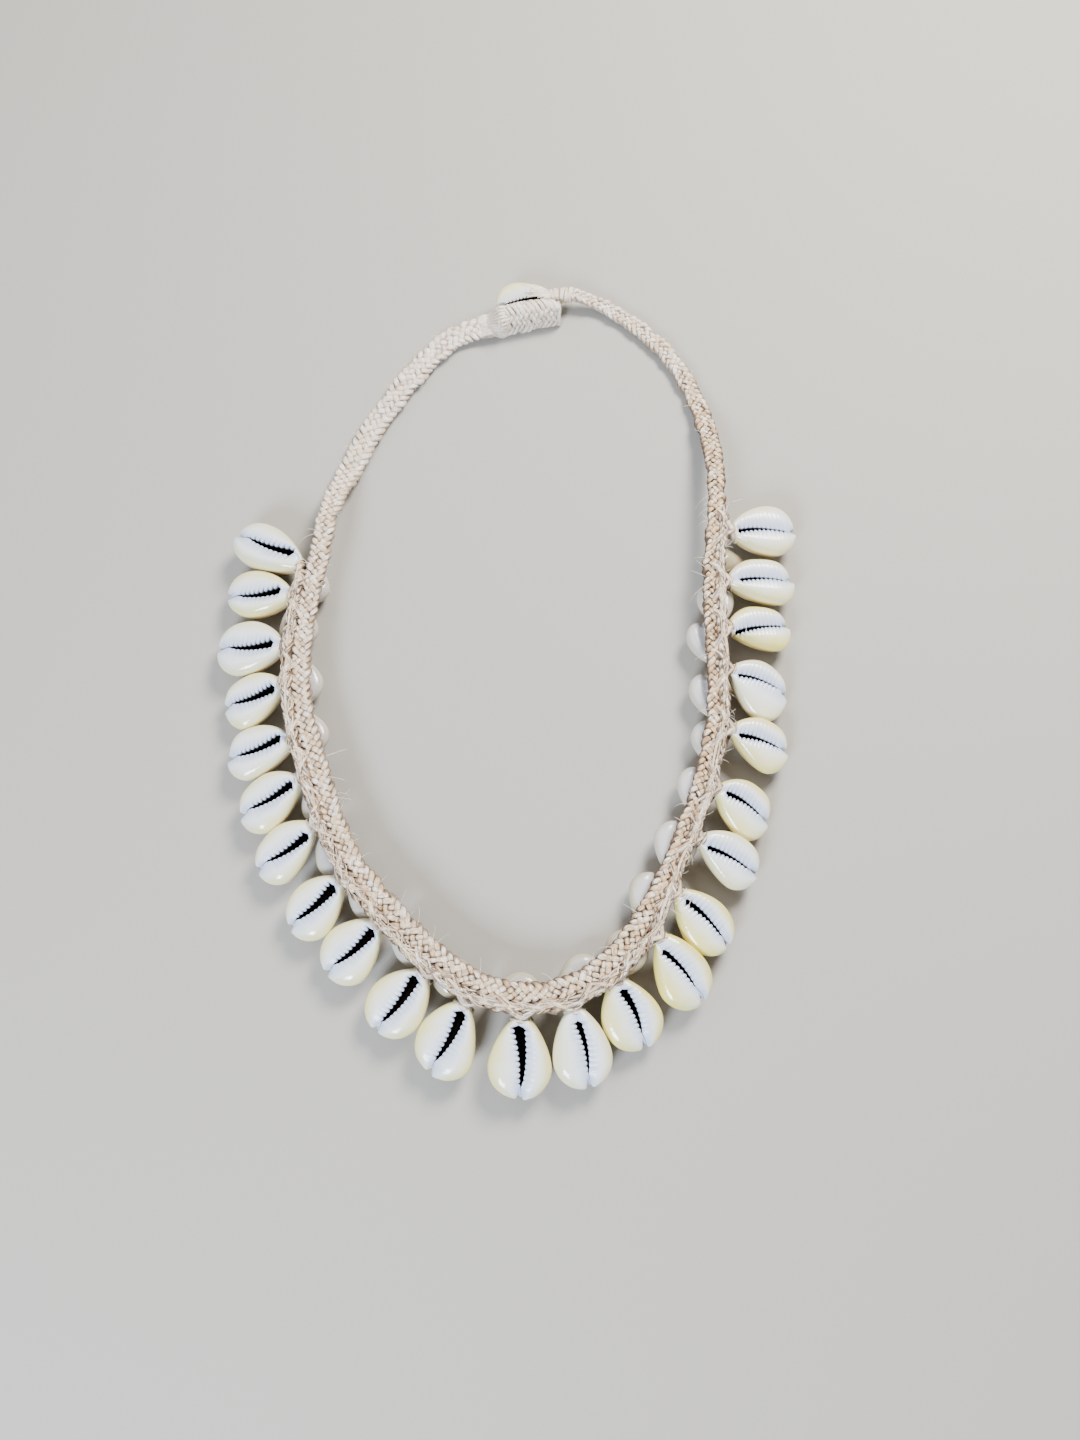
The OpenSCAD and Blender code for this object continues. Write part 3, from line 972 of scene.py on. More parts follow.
@dataclass
class OuterShells:
    """The fan of cowries along the band's outer edge.

    Each row holds the place along the route, distance from it to the tip, length, width, swing, slope, the
    mouth's near end (share of the length, share of half the width), its far end, how wide it gapes, how
    yellow it is, and its lean. Each mark under the shell is a share of its length and one of its height.
    """

    route: Route
    rise: float = 0.44
    under: Sequence[tuple[float, float]] = (
        (0, 0.34), (0.05, 0.48), (0.15, 0.66), (0.3, 0.86), (0.46, 0.97), (0.62, 1), (0.76, 0.93),
        (0.88, 0.76), (0.96, 0.56), (1, 0.4),
    )
    rows: Sequence[tuple[float, ...]] = (
        (123.25, 4.5, 27.5, 15.5, -24, 7, 0.2, -0.3, 0.8, 0.08, 2, 0.35, 0.3),
        (132.75, 5.25, 23.5, 16.25, -2, 10, 0.21, -0.14, 0.8, 0.25, 2, 0.7, 0.1),
        (149.75, 5.25, 23.35, 18.5, -4, 10, 0.19, -0.09, 0.81, 0.07, 2, 0.25, 0.4),
        (161.5, 5, 21.5, 16.75, 14, 13, 0.18, 0.01, 0.85, -0.06, 2.1, 0.55, 0.8),
        (179.75, 4.75, 22.25, 16.75, -10, 11, 0.2, -0.25, 0.84, 0.13, 2, 0.3, 0.8),
        (192, 5, 22.75, 16.75, 9, 11, 0.17, -0.06, 0.83, -0.01, 1.9, 0.55, 0.9),
        (206.25, 5.5, 22.75, 15.75, 13, 12, 0.18, 0.13, 0.82, -0.03, 2, 0.5, 0.9),
        (223.75, 4.75, 22, 16.25, 6, 12, 0.18, -0.04, 0.86, -0.07, 2.3, 0.55, 0.6),
        (239.75, 4.5, 22, 17, -2, 12, 0.16, 0.04, 0.83, -0.01, 2.2, 0.55, 0.4),
        (258.25, 5.25, 22.5, 17.5, -6, 12, 0.16, -0.11, 0.86, 0.04, 2.3, 0.65, 0.1),
        (271.5, 5.75, 22.75, 18, -5, 11, 0.16, -0.01, 0.83, -0.01, 2.3, 0.7, 0.6),
        (285, 5.5, 23.5, 17.75, 0, 10, 0.16, -0.09, 0.86, 0.07, 2.5, 0.75, 0.1),
        (297.5, 5.25, 23.25, 16.75, -10, 10, 0.21, 0.03, 0.82, 0.09, 1.5, 0.35, 0),
        (310.25, 4.25, 22, 17.25, -18, 12, 0.2, 0.03, 0.79, 0.13, 1.9, 0.9, 0.2),
        (325.75, 5.75, 23.5, 16.25, -26, 11, 0.21, -0.19, 0.78, 0.13, 1.4, 1, -0.3),
        (338.75, 4.5, 22.75, 15.5, -19, 11, 0.19, 0.01, 0.83, 0.08, 1.2, 0.95, -0.3),
        (355.5, 4.25, 21.75, 15.5, -4, 13, 0.19, -0.15, 0.85, -0.11, 1.05, 0.35, -0.7),
        (371.25, 4, 20.25, 17.25, -9, 15, 0.2, 0.07, 0.82, -0.02, 1.2, 0.8, -0.8),
        (389.75, 4.75, 20.75, 16.25, -7, 14, 0.18, -0.09, 0.82, -0.04, 1.2, 0.8, -0.9),
        (408.5, 4, 21.5, 18.25, -23, 13, 0.18, 0, 0.8, 0.22, 0.85, 0.35, -1),
        (422.25, 4.5, 21.75, 15.75, 11, 12, 0.13, -0.2, 0.9, -0.15, 1.15, 0.95, -1.2),
        (438.25, 4.75, 23.25, 16.75, 14, 10, 0.2, 0.03, 0.9, -0.26, 0.95, 0.6, -1.1),
        (457.25, 5, 23.5, 18, 18, 10, 0.12, -0.03, 0.85, -0.26, 1.15, 0.45, -0.2),
    )

    def seat(self, row: Sequence[float]) -> tuple[Array, Array, Array, float]:
        """Works out where a row's shell lies: raised until its back touches the table.

        Args:
            row: The shell's row.

        Returns:
            Its tip, long axis, side and height.
        """
        station, out, long, _, swing, slope = row[:6]
        high = self.rise * long
        share, depth = np.array(self.under, float).T
        a = math.radians(slope)
        tip = self.route.at(station) + out * self.route.outward(station)
        tip[2] = (share * long * math.sin(a) + depth * high * math.cos(a)).max()
        axis, side = sloped(heading_of(self.route.outward(station)) + swing, slope)
        return tip, axis, side, high

    def build(self) -> None:
        """Makes each shell as a piece of its own."""
        for number, row in enumerate(self.rows, 1):
            tip, axis, side, high = self.seat(row)
            skin = Skin(f"outer_cowrie_{number:02d}")
            Cowrie(row[2], row[3], high, mouth_near=row[6:8], mouth_far=row[8:10], gape=row[10], yolk=row[11],
                   seed=number, lean=row[12], comb=0.75 + 0.45 * float(side[1])).into(skin, tip, axis, side)
            skin.build(SHELL, "outer_shell", [f"outer_shell_{number:02d}"])


@dataclass
class UnderShells:
    """The smaller cowries that lie along the band and carry it.

    Each row holds the place along the route, distance of the middle outside it, length, and turn. Breadth is
    a share of the length. Yellow says which ones have the yellower rims. The last one lies back up, with its
    face at clear over the table.
    """

    route: Route
    high: float = 7.8
    breadth: float = 0.8
    yellow: range = range(9, 14)
    clear: float = 0.5
    rows: Sequence[tuple[float, float, float, float]] = (
        (125.25, 2.25, 14.75, 12), (140, 3.5, 15.5, 12), (158.5, 0.75, 15.75, 12), (175.75, 0.75, 15.25, 12),
        (198.5, 3.25, 13.5, 0), (214.75, 4.5, 14.5, 0), (230.25, 2.75, 14.5, 0), (249.25, 2.5, 14.25, 12),
        (263.25, 2.25, 14.25, 12), (282.5, 0.25, 15.75, 12), (301.5, -1, 15.75, 12), (316, 1.5, 15.75, 12),
        (334, -1, 16.75, 12), (351.25, -0.5, 16.75, 12), (370.25, -0.5, 15.5, 12), (386.25, 0.25, 14.75, 12),
        (401.75, -1, 15.5, 12), (419.75, -1.5, 15, 12), (433.25, 2.25, 15, 12), (449.5, 4.75, 14.5, 100),
    )

    def build(self) -> None:
        """Makes each shell as a piece of its own."""
        for number, (station, beside, long, turn) in enumerate(self.rows, 1):
            middle = self.route.at(station) + beside * self.route.outward(station)
            axis, side = sloped(heading_of(self.route.along(station)) + turn, 0)
            tip = middle - axis * long / 2 + UP * self.high
            if number == len(self.rows):
                tip, side = tip - UP * (self.high - self.clear), -side
            skin = Skin(f"under_cowrie_{number:02d}")
            Cowrie(long, long * self.breadth, self.high, gape=0.03, seed=40 + number, detail=Detail.PLAIN,
                   yolk=0.75 if number in self.yellow else 0.25).into(skin, tip, axis, side)
            skin.build(SHADED_UNDER_SHELL, "under_shell", [f"under_shell_{number:02d}"])


# Band


@dataclass
class Band:
    """The plaited band: a flat plait on top of a fibre core.

    More is how far the plait spreads on the right side, and step the distance between its rings.
    """

    route: Route
    strands: int = 5
    pitch: float = 12.0
    overs: str = "+-+-"
    plait_thick: float = 2.6
    more: float = 0.8
    step: float = 0.42

    def spread(self, s: Array) -> Array:
        """How far the plait spreads over the second row on the right side."""
        return self.more * self.route.narrow(s)

    def top(self, s: Array) -> tuple[Array, Array, Array]:
        """Size of the plait on top of the band.

        Args:
            s: Distances along the band.

        Returns:
            Height of its middle, half its width and its thickness.
        """
        middle, width, thick = self.route.size(s)
        deep = np.minimum(self.plait_thick, thick)
        return middle + thick / 2 - deep / 2, (width + self.spread(s)) / 2, deep

    def place(self, s: Array, across: Array, height: Array) -> Array:
        """Points of the plait.

        Args:
            s: Distances along the band.
            across: Distances out from the plait's middle.
            height: Heights over it.

        Returns:
            The points.
        """
        middle, _, _ = self.top(s)
        beside = (across + self.spread(s) / 2)[..., None]
        return self.route.at(s) + self.route.outward(s) * beside + UP * (middle + height)[..., None]

    def build(self) -> None:
        """Makes the strands and the core."""
        s = np.arange(0.4, self.route.length - 0.2, self.step)
        _, half, deep = self.top(s)
        skin = Skin("band_plait")
        Plait(self.strands, self.pitch, self.overs, loose=1.5).onto(
            skin, s, half, deep, self.place, upward, self.route.tanned(s))
        skin.build(PLAITED, "plait", ["plaited_band"])
        self.core()

    def core(self) -> None:
        """Makes the wrapped core under the plait, a little slimmer than the band's solid."""
        s = np.arange(0.8, self.route.length - 0.6, 0.5)[:, None]
        middle, width, thick = self.route.size(s)
        low, high = middle - thick / 2 + 0.05, middle + thick / 2 - 1.1
        a = 2 * np.pi * (np.arange(16) + 0.5) / 16
        wrap = 1 + 0.06 * np.sin(2 * np.pi * s / 1.7 + 2 * a)
        across = (width / 2 - 0.7) * np.cos(a) * wrap
        rise = (high + low) / 2 + (high - low) / 2 * np.sin(a) * np.minimum(wrap, 1)
        rings = self.route.at(s) + self.route.outward(s) * across[..., None] + UP * rise[..., None]
        lay = np.stack(np.broadcast_arrays(a * 3, s, rise), -1)
        # The core takes deep painted shade, for it shows only in the gaps under the plait.
        shade = np.stack(np.broadcast_arrays(0.85, self.route.tanned(s), 0.3 + 0 * across), -1)
        skin = Skin("band_core")
        skin.add(rings[None], {"lay": lay[None], "fibre": shade[None]})
        skin.build(PLAITED, "plait")


@dataclass
class EdgeCord:
    """The narrow second row along the band's outer edge, and the lashings of the outer shells to it.

    The row stands raised over the band's top, and lies further inward on the right side. Fibres is the number
    of short crumpled ones over it. Necks are the distances from each tip at which a turn goes over it.
    """

    route: Route
    shells: OuterShells
    wide: float = 2.3
    thick: float = 2.0
    raised: float = 0.6
    inward: float = 1.2
    start: float = 128.25
    end: float = 463.25
    fibres: int = 640
    necks: tuple[float, ...] = (1.3, 2.2)

    def line(self, s: Array) -> tuple[Array, Array]:
        """The cord's middle: beside the plait's edge, and near its top.

        Args:
            s: Distances along the band.

        Returns:
            Its distance from the band's middle, and its height.
        """
        middle, width, thick = self.route.size(s)
        out = width / 2 + self.wide / 2 - self.inward * self.route.narrow(s)
        return out, middle + thick / 2 - self.thick / 2 + self.raised

    def place(self, s: Array, across: Array, height: Array) -> Array:
        """Points of the cord.

        Args:
            s: Distances along the band.
            across: Distances out from the cord's middle.
            height: Heights over it.

        Returns:
            The points.
        """
        out, middle = self.line(s)
        beside = (out + across)[..., None]
        return self.route.at(s) + self.route.outward(s) * beside + UP * (middle + height)[..., None]

    def build(self) -> None:
        """Makes the cord's strands."""
        s = np.arange(self.start, self.end, 0.35)
        skin = Skin("edge_cord_strands")
        ends = span(self.start, self.start + 2, self.end - 2, self.end, s) * 0.4 + 0.6
        Plait(3, 8.6, "+-", spread=1.0, flat=1.0, seed=5).onto(
            skin, s, self.wide * 0.7 * ends, self.thick * ends, self.place, upward, 0.8)
        skin.build(PLAITED, "cord", ["edge_cord"])
        self.lash()

    def mat(self, skin: Skin, rng: np.random.Generator) -> None:
        """Lays short crumpled fibres all over the cord.

        Each leans and bends across it, follows its round top, and dips with u^6 at both ends.

        Args:
            skin: Where they go.
            rng: The random numbers.
        """
        count, u = self.fibres, np.linspace(-1, 1, 9)
        half = rng.uniform(0.7, 2.3, count)[:, None]
        lean, bend = rng.normal(0, 0.42, count)[:, None], rng.normal(0, 0.3, count)[:, None]
        s = rng.uniform(self.start - 1, self.end + 1, count)[:, None] + half * u
        inner = -1.9 + 1.7 * self.route.narrow(s)
        across = np.clip(rng.uniform(-1.7, 1.35, count)[:, None] + half * lean * u + bend * u**2, inner, 1.5)
        bulge = np.sqrt(1 - (np.abs(across) / 2.2) ** 2)
        height = self.thick / 2 * bulge + 0.14 + rng.uniform(0, 0.14, count)[:, None] - 0.6 * u**6
        face = UP + self.route.outward(s) * across[..., None] * 0.4
        width = rng.uniform(0.4, 1.0, count)[:, None] * (0.65 + 0.35 * (1 - u**2))
        shift = rng.uniform(0, 200, (count, 1, 1, 3))
        fibre = tuple(rng.uniform(low, high, (count, 1)) for low, high in ((0, 0.5), (0.1, 1), (0, 1)))
        skin.lay(self.place(s, across, height), unit(face), width, 0.34, shift, fibre, 6)

    def lash(self) -> None:
        """Lays flat strands from tip to tip, and lashes each tip with crossing strands and turns."""
        rng = np.random.default_rng(11)
        skin = Skin("tip_lashings")
        self.mat(skin, rng)
        tips = [row[0] for row in self.shells.rows]
        u = np.linspace(0, 1, 24)
        for here, after in zip(tips, tips[1:]):
            for across in rng.choice((-0.8, 0.0, 0.8), rng.integers(1, 3), replace=False):
                s = np.linspace(here + rng.uniform(-2.5, 0.5), after + rng.uniform(-0.5, 2.5), 24)
                beside = across + 0.35 * np.sin(2 * np.pi * (u + rng.uniform()))
                height = self.thick / 2 * np.sqrt(1 - (beside / 1.5) ** 2) + 0.12 - 0.7 * (2 * u - 1) ** 6
                s = np.clip(s, self.start - 3, self.end + 3)
                face = UP + self.route.outward(s) * beside[:, None] * 0.5
                self.strand(skin, self.place(s, beside, height), face, rng.uniform(0.9, 1.35), rng)
        for row in self.shells.rows:
            for way in (1, -1):
                for order in range(3):
                    self.crossing(skin, row, way, order, rng)
            for neck in self.necks:
                self.turn(skin, row, neck * rng.uniform(0.92, 1.08), rng)
        skin.build(LASHED, "cord")

    def strand(self, skin: Skin, path: Array, face: Array, wide: float, rng: np.random.Generator) -> None:
        """Adds one flat strand with its own tone, narrower at both ends.

        Args:
            skin: Where it goes.
            path: Its points.
            face: Where its flat side looks.
            wide: Its width in the middle.
            rng: The random numbers.
        """
        u = np.linspace(0, 1, len(path))
        width = wide * (0.7 + 0.3 * np.sin(np.pi * u)) * (1 + 0.08 * np.sin(9 * u + rng.uniform(0, 6)))
        fibre = tuple(rng.uniform(low, high) for low, high in ((0, 0.45), (0.1, 0.9), (0, 1)))
        skin.lay(path, unit(face), width, 0.5, rng.uniform(0, 200, 3), fibre)

    def neck(self, row: Sequence[float], distance: float) -> tuple[Array, Array, Array, float, float, float]:
        """Works out a shell's section near its tip.

        Args:
            row: The shell's row.
            distance: How far from the tip the section lies.

        Returns:
            Its middle, the side and up directions, half its breadth, its top and its bottom.
        """
        tip, axis, side, high = self.shells.seat(row)
        shell = Cowrie(row[2], row[3], high, lean=row[12])
        t = np.array([distance / row[2]])
        left, right = (float(row[3] / 2 * shell.breadth(t, way)[0]) for way in (1, -1))
        middle = tip + axis * distance + side * (left - right) / 2
        top, low = (-float(reach(t)[0]) * high for reach in (shell.face_drop, shell.back_reach))
        return middle, side, np.cross(axis, side), (left + right) / 2, top, low

    def crossing(self, skin: Skin, row: Sequence[float], way: int, order: int,
                 rng: np.random.Generator) -> None:
        """Lays a strand from the plait along the cord, slantwise over a tip, and down its other side.

        Args:
            skin: Where it goes.
            row: The shell's row.
            way: The side that it ends on, 1 or -1.
            order: Its number among the strands of that side, from 0.
            rng: The random numbers.
        """
        middle, side, up, half, top, low = self.neck(row, 0.3 + 0.45 * order + rng.uniform(-0.15, 0.15))
        back, crest = rng.uniform(0.85, 1.15), self.thick / 2
        on_cord = ((6.4 - 0.5 * order, -2.4, -0.3), (4.4 - 0.4 * order, -0.8 + 0.2 * order, crest + 0.05),
                   (2.3, 0.5 + 0.25 * order, crest - 0.15 - 0.1 * order))
        on_shell = ((-0.1, top + 0.5), (0.7, top + 0.05), (0.98, (top + low) / 2), (0.6, low))
        along, across, height = np.array(on_cord).T
        s = np.clip(row[0] - way * along * back, self.start - 3, self.end + 3)
        y, z = np.array(on_shell).T[..., None]
        knots = np.vstack([self.place(s, across, height), middle + side * (way * y * half) + up * z])
        t = np.linspace(0, 6, 40)
        path = through(knots, t)
        face = UP * smooth(5.2, 3.6, t)[:, None] + side * way * smooth(3.6, 5.2, t)[:, None]
        self.strand(skin, path, face, rng.uniform(1.4, 2.0), rng)

    def turn(self, skin: Skin, row: Sequence[float], distance: float, rng: np.random.Generator) -> None:
        """Lays one turn over a tip from below its one side to below the other: most of an oval.

        Args:
            skin: Where it goes.
            row: The shell's row.
            distance: How far from the tip it lies.
            rng: The random numbers.
        """
        middle, side, up, half, top, low = self.neck(row, distance)
        a = np.linspace(-0.35 * math.pi, 1.35 * math.pi, 36)
        y = np.sign(np.cos(a)) * np.abs(np.cos(a)) ** 0.8 * (half + 0.05)
        z = (top + low) / 2 + np.sin(a) * ((top - low) / 2 + 0.15)
        sway = np.cross(side, up) * (0.25 * np.sin(2 * a))[:, None]
        path = middle + side * y[:, None] + up * z[:, None] + sway
        self.strand(skin, path, unit(path - middle - up * (top + low) / 2), rng.uniform(0.9, 1.4), rng)


# Closure


@dataclass
class Closure:
    """The button shell on the right strap's end, its binding, and the left strap's folded loop over it.

    Tip is the button's on the table, lift its height there, and turn and roll its angles in degrees. Button
    holds its length, width and height. The fold starts at fold_start, and each knot of fold_inner is a
    distance in front of that line and a height.
    """

    route: Route
    tip: tuple[float, float] = (13.4, 131.5)
    turn: float = 194.0
    roll: float = 25.0
    lift: float = 8.614
    button: tuple[float, float, float] = (20.5, 13.8, 8.5)
    fold_start: tuple[float, float] = (-7.05, 126.35)
    fold_turn: float = 14.0
    fold_long: float = 22.5
    fold_thick: float = 2.0
    fold_wide: float = 11.6
    fold_inner: Sequence[tuple[float, float]] = (
        (1.25, 8.45), (2.8, 7.75), (5.2, 6.2), (5.65, 3.5), (5.55, 1.7), (5.4, 0),
    )

    def button_frame(self) -> tuple[Array, Array, Array]:
        """Works out how the button lies, its face rolled to the front.

        Returns:
            Its tip, long axis and side.
        """
        axis, side = sloped(self.turn, 0)
        roll = math.radians(self.roll)
        return np.array([*(CENTRE + self.tip), self.lift]), axis, side * math.cos(roll) - UP * math.sin(roll)

    def section(self, share: Array) -> tuple[Array, Array]:
        """The fold's middle surface from beside the slit down to the table, even by length.

        Args:
            share: Shares of the way down.

        Returns:
            Points in front of the slit and up, and the outward direction at each.
        """
        line = through(np.array(self.fold_inner, float), np.linspace(0, len(self.fold_inner) - 1, 120))
        way = unit(np.gradient(line, axis=0))
        out = np.stack([-way[:, 1], way[:, 0]], -1)
        line = line + out * self.fold_thick / 2
        run = np.concatenate([[0], np.cumsum(np.linalg.norm(np.diff(line, axis=0), axis=1))])
        spot, away = (np.stack([np.interp(share * run[-1], run, values[:, k]) for k in (0, 1)], -1)
                      for values in (line, out))
        return spot, unit(away)

    def fold_point(self, s: Array, share: Array, height: Array) -> tuple[Array, Array]:
        """Points of the fold. At its far end the upper edge droops by a share of 0.16.

        Args:
            s: Distances along the fold.
            share: Shares of the way down.
            height: Distances out from its middle surface.

        Returns:
            The points and the outward direction at each.
        """
        turn = math.radians(self.fold_turn)
        ahead = np.array([math.cos(turn), math.sin(turn), 0])
        front = np.array([math.sin(turn), -math.cos(turn), 0])
        share = share + (1 - share) * 0.16 * smooth(0.72 * self.fold_long, self.fold_long, s)
        spot, out = self.section(share)
        face = front * out[..., :1] + UP * out[..., 1:]
        point = np.array([*(CENTRE + self.fold_start), 0.0]) + ahead * s[..., None] + front * spot[..., :1]
        return point + UP * spot[..., 1:] + face * height[..., None], face

    def build(self) -> None:
        """Makes the button shell, the folded loop and the binding."""
        tip, axis, side = self.button_frame()
        skin = Skin("button_cowrie")
        Cowrie(*self.button, mouth_near=(0.2, -0.03), mouth_far=(0.84, 0.0), gape=0.85, yolk=0.7, seed=77,
               bow=-0.03).into(skin, tip, axis, side)
        skin.build(BUTTON_SHELL, "button_shell", ["button_shell"])
        self.fold()
        self.bind(tip, axis, side)

    def fold(self) -> None:
        """Lays a plait over the arch, with bound edges at both ends."""
        skin = Skin("folded_loop_plait")
        s = np.arange(0.6, self.fold_long - 0.4, 0.4)

        def share(across: Array) -> Array:
            """The share of the way down the fold, from the distance across its plait."""
            return np.clip(across / self.fold_wide + 0.48, 0, 0.95)

        def place(along: Array, across: Array, height: Array) -> Array:
            """A point of the fold's plait."""
            return self.fold_point(along, share(across), height)[0]

        def face(along: Array, across: Array) -> Array:
            """The fold's outward direction."""
            return self.fold_point(along, share(across), 0 * along)[1]

        Plait(7, 12.6, "++-+--", spread=1.0, seed=3, loose=1.6).onto(
            skin, s, np.full(len(s), self.fold_wide / 2), np.full(len(s), self.fold_thick), place, face, -0.1)
        u = np.linspace(0.02, 0.93, 40)
        rng = np.random.default_rng(4)
        for at, wide in ((0.5, 1.2), (1.6, 1.1), (self.fold_long - 0.5, 1.1)):
            point, out = self.fold_point(np.full(40, at) + 0.25 * np.sin(u * 9), u, np.full(40, 0.6))
            skin.lay(point, out, wide, 0.7, rng.uniform(0, 99, 3), (0.2, 0.1, 0.5), edge=0)
        self.climb(skin)
        skin.build(PLAITED, "plait", ["folded_loop"])

    def climb(self, skin: Skin) -> None:
        """Lays strands from the top of the left strap's end up onto the fold's near edge.

        Args:
            skin: Where they go.
        """
        rng = np.random.default_rng(6)
        middle, width, thick = self.route.size(np.array(3.0))
        u = np.linspace(0, 1, 30)[:, None]
        for share in np.linspace(0.0, 1.0, 11):
            across = width * (0.46 - 0.92 * share)
            on_strap = ((6.0 + rng.uniform(-0.8, 0.8), -0.7), (4.3, 0.15), (2.4, 0.35))
            on_fold = ((0.6, 0.7), (2.2, 0.75), (3.6 + rng.uniform(-0.6, 0.9), -0.1))
            knots = [self.route.at(s) + self.route.outward(s) * across + UP * (middle + thick / 2 + z)
                     for s, z in on_strap]
            knots += [self.fold_point(np.array(s), np.array(0.02 + 0.88 * share), np.array(z))[0]
                      for s, z in on_fold]
            path = through(np.array(knots), np.linspace(0, 5, 30))
            face = u * self.fold_point(np.array(1.0), np.array(share), np.array(0.0))[1]
            skin.lay(path, unit(face + UP * (1 - 0.9 * u)), rng.uniform(1.1, 1.5), 0.6, rng.uniform(0, 99, 3),
                     (rng.uniform(0, 0.3), -0.2, rng.uniform(0, 1)))

    def bind(self, tip: Array, axis: Array, side: Array) -> None:
        """Winds turns from the strap's end to the button's tip, round a core.

        The turns are a helix whose oval slowly swings from the strap's directions to the button's.

        Args:
            tip: The button's tip.
            axis: Its long axis.
            side: Its side.
        """
        end, up, turns = self.route.length, np.cross(axis, side), 8
        middle, _, _ = self.route.size(np.array(end))
        start = self.route.at(end) + UP * middle - self.route.along(end) * 1.2
        level = unit(side * np.array([1, 1, 0]))
        finish = tip - up * self.button[2] * 0.25 + axis
        a = np.linspace(0, 2 * np.pi * turns, 22 * turns)
        u = a / a[-1]
        across = unit(self.route.outward(end) * (1 - u)[:, None] - level * u[:, None])
        wide = np.interp(u, [0, 0.2, 0.7, 1], [2.5, 2.75, 2.5, 2.4]) * (1 + 0.06 * np.sin(a * 0.37))
        tall = np.interp(u, [0, 0.2, 0.7, 1], [1.7, 1.95, 1.9, 1.6])
        line = start + (finish - start) * (u + 0.035 * np.sin(a * 0.61 + 1))[:, None]
        spoke = across * (wide * np.cos(a))[:, None] + UP * (tall * np.sin(a))[:, None]
        skin = Skin("end_binding_turns")
        skin.lay(line + spoke, unit(spoke), 1.15 + 0.25 * np.sin(a * 0.43), 0.7, 0, (0.25, 0.15, 0.5), edge=0)
        ring = 2 * np.pi * np.arange(12) / 12
        core = (line[::8, None] + across[::8, None] * (wide[::8, None] * 0.9 * np.cos(ring))[..., None]
                + UP * (tall[::8, None] * 0.9 * np.sin(ring))[..., None])
        # The core under the turns takes deep painted shade.
        shade = np.full(core.shape, (0.9, 0.2, 0.3))
        skin.add(core[None], {"lay": core[None], "fibre": shade[None]})
        self.cap(skin, tip, axis, side)
        skin.build(LASHED, "binding", ["end_binding"])

    def cap(self, skin: Skin, tip: Array, axis: Array, side: Array) -> None:
        """Lays a fan of fibres from the binding over the button's tip, close over its face.

        Args:
            skin: Where they go.
            tip: The button's tip.
            axis: Its long axis.
            side: Its side.
        """
        long, wide, high = self.button
        shell, up = Cowrie(*self.button), np.cross(axis, side)
        rng = np.random.default_rng(9)
        for place in np.linspace(-0.95, 0.95, 15):
            reach = rng.uniform(2.6, 4.4) + (rng.uniform(1.0, 6.5) if place < 0.1 else 0)
            x = np.linspace(-1.8, reach, 16)
            t = np.clip(x / long, 0.0, 1)
            half = wide / 2 * shell.breadth(np.maximum(t, 0.02))
            bend = FACE_DEPTH * high * 0.6 * (1 - math.sqrt(1 - abs(place) ** 3))
            z = -shell.face_drop(t) * high - bend + 0.42 - 0.5 * smooth(0.85, 1.0, x / reach)
            path = tip + axis * x[:, None] + side * (half * place * 0.95)[:, None] + up * z[:, None]
            skin.lay(path, up, np.linspace(1.2, 0.6, 16), 0.45, rng.uniform(0, 99, 3),
                     (0.1, 0.15, rng.uniform(0, 1)), 7, edge=0)


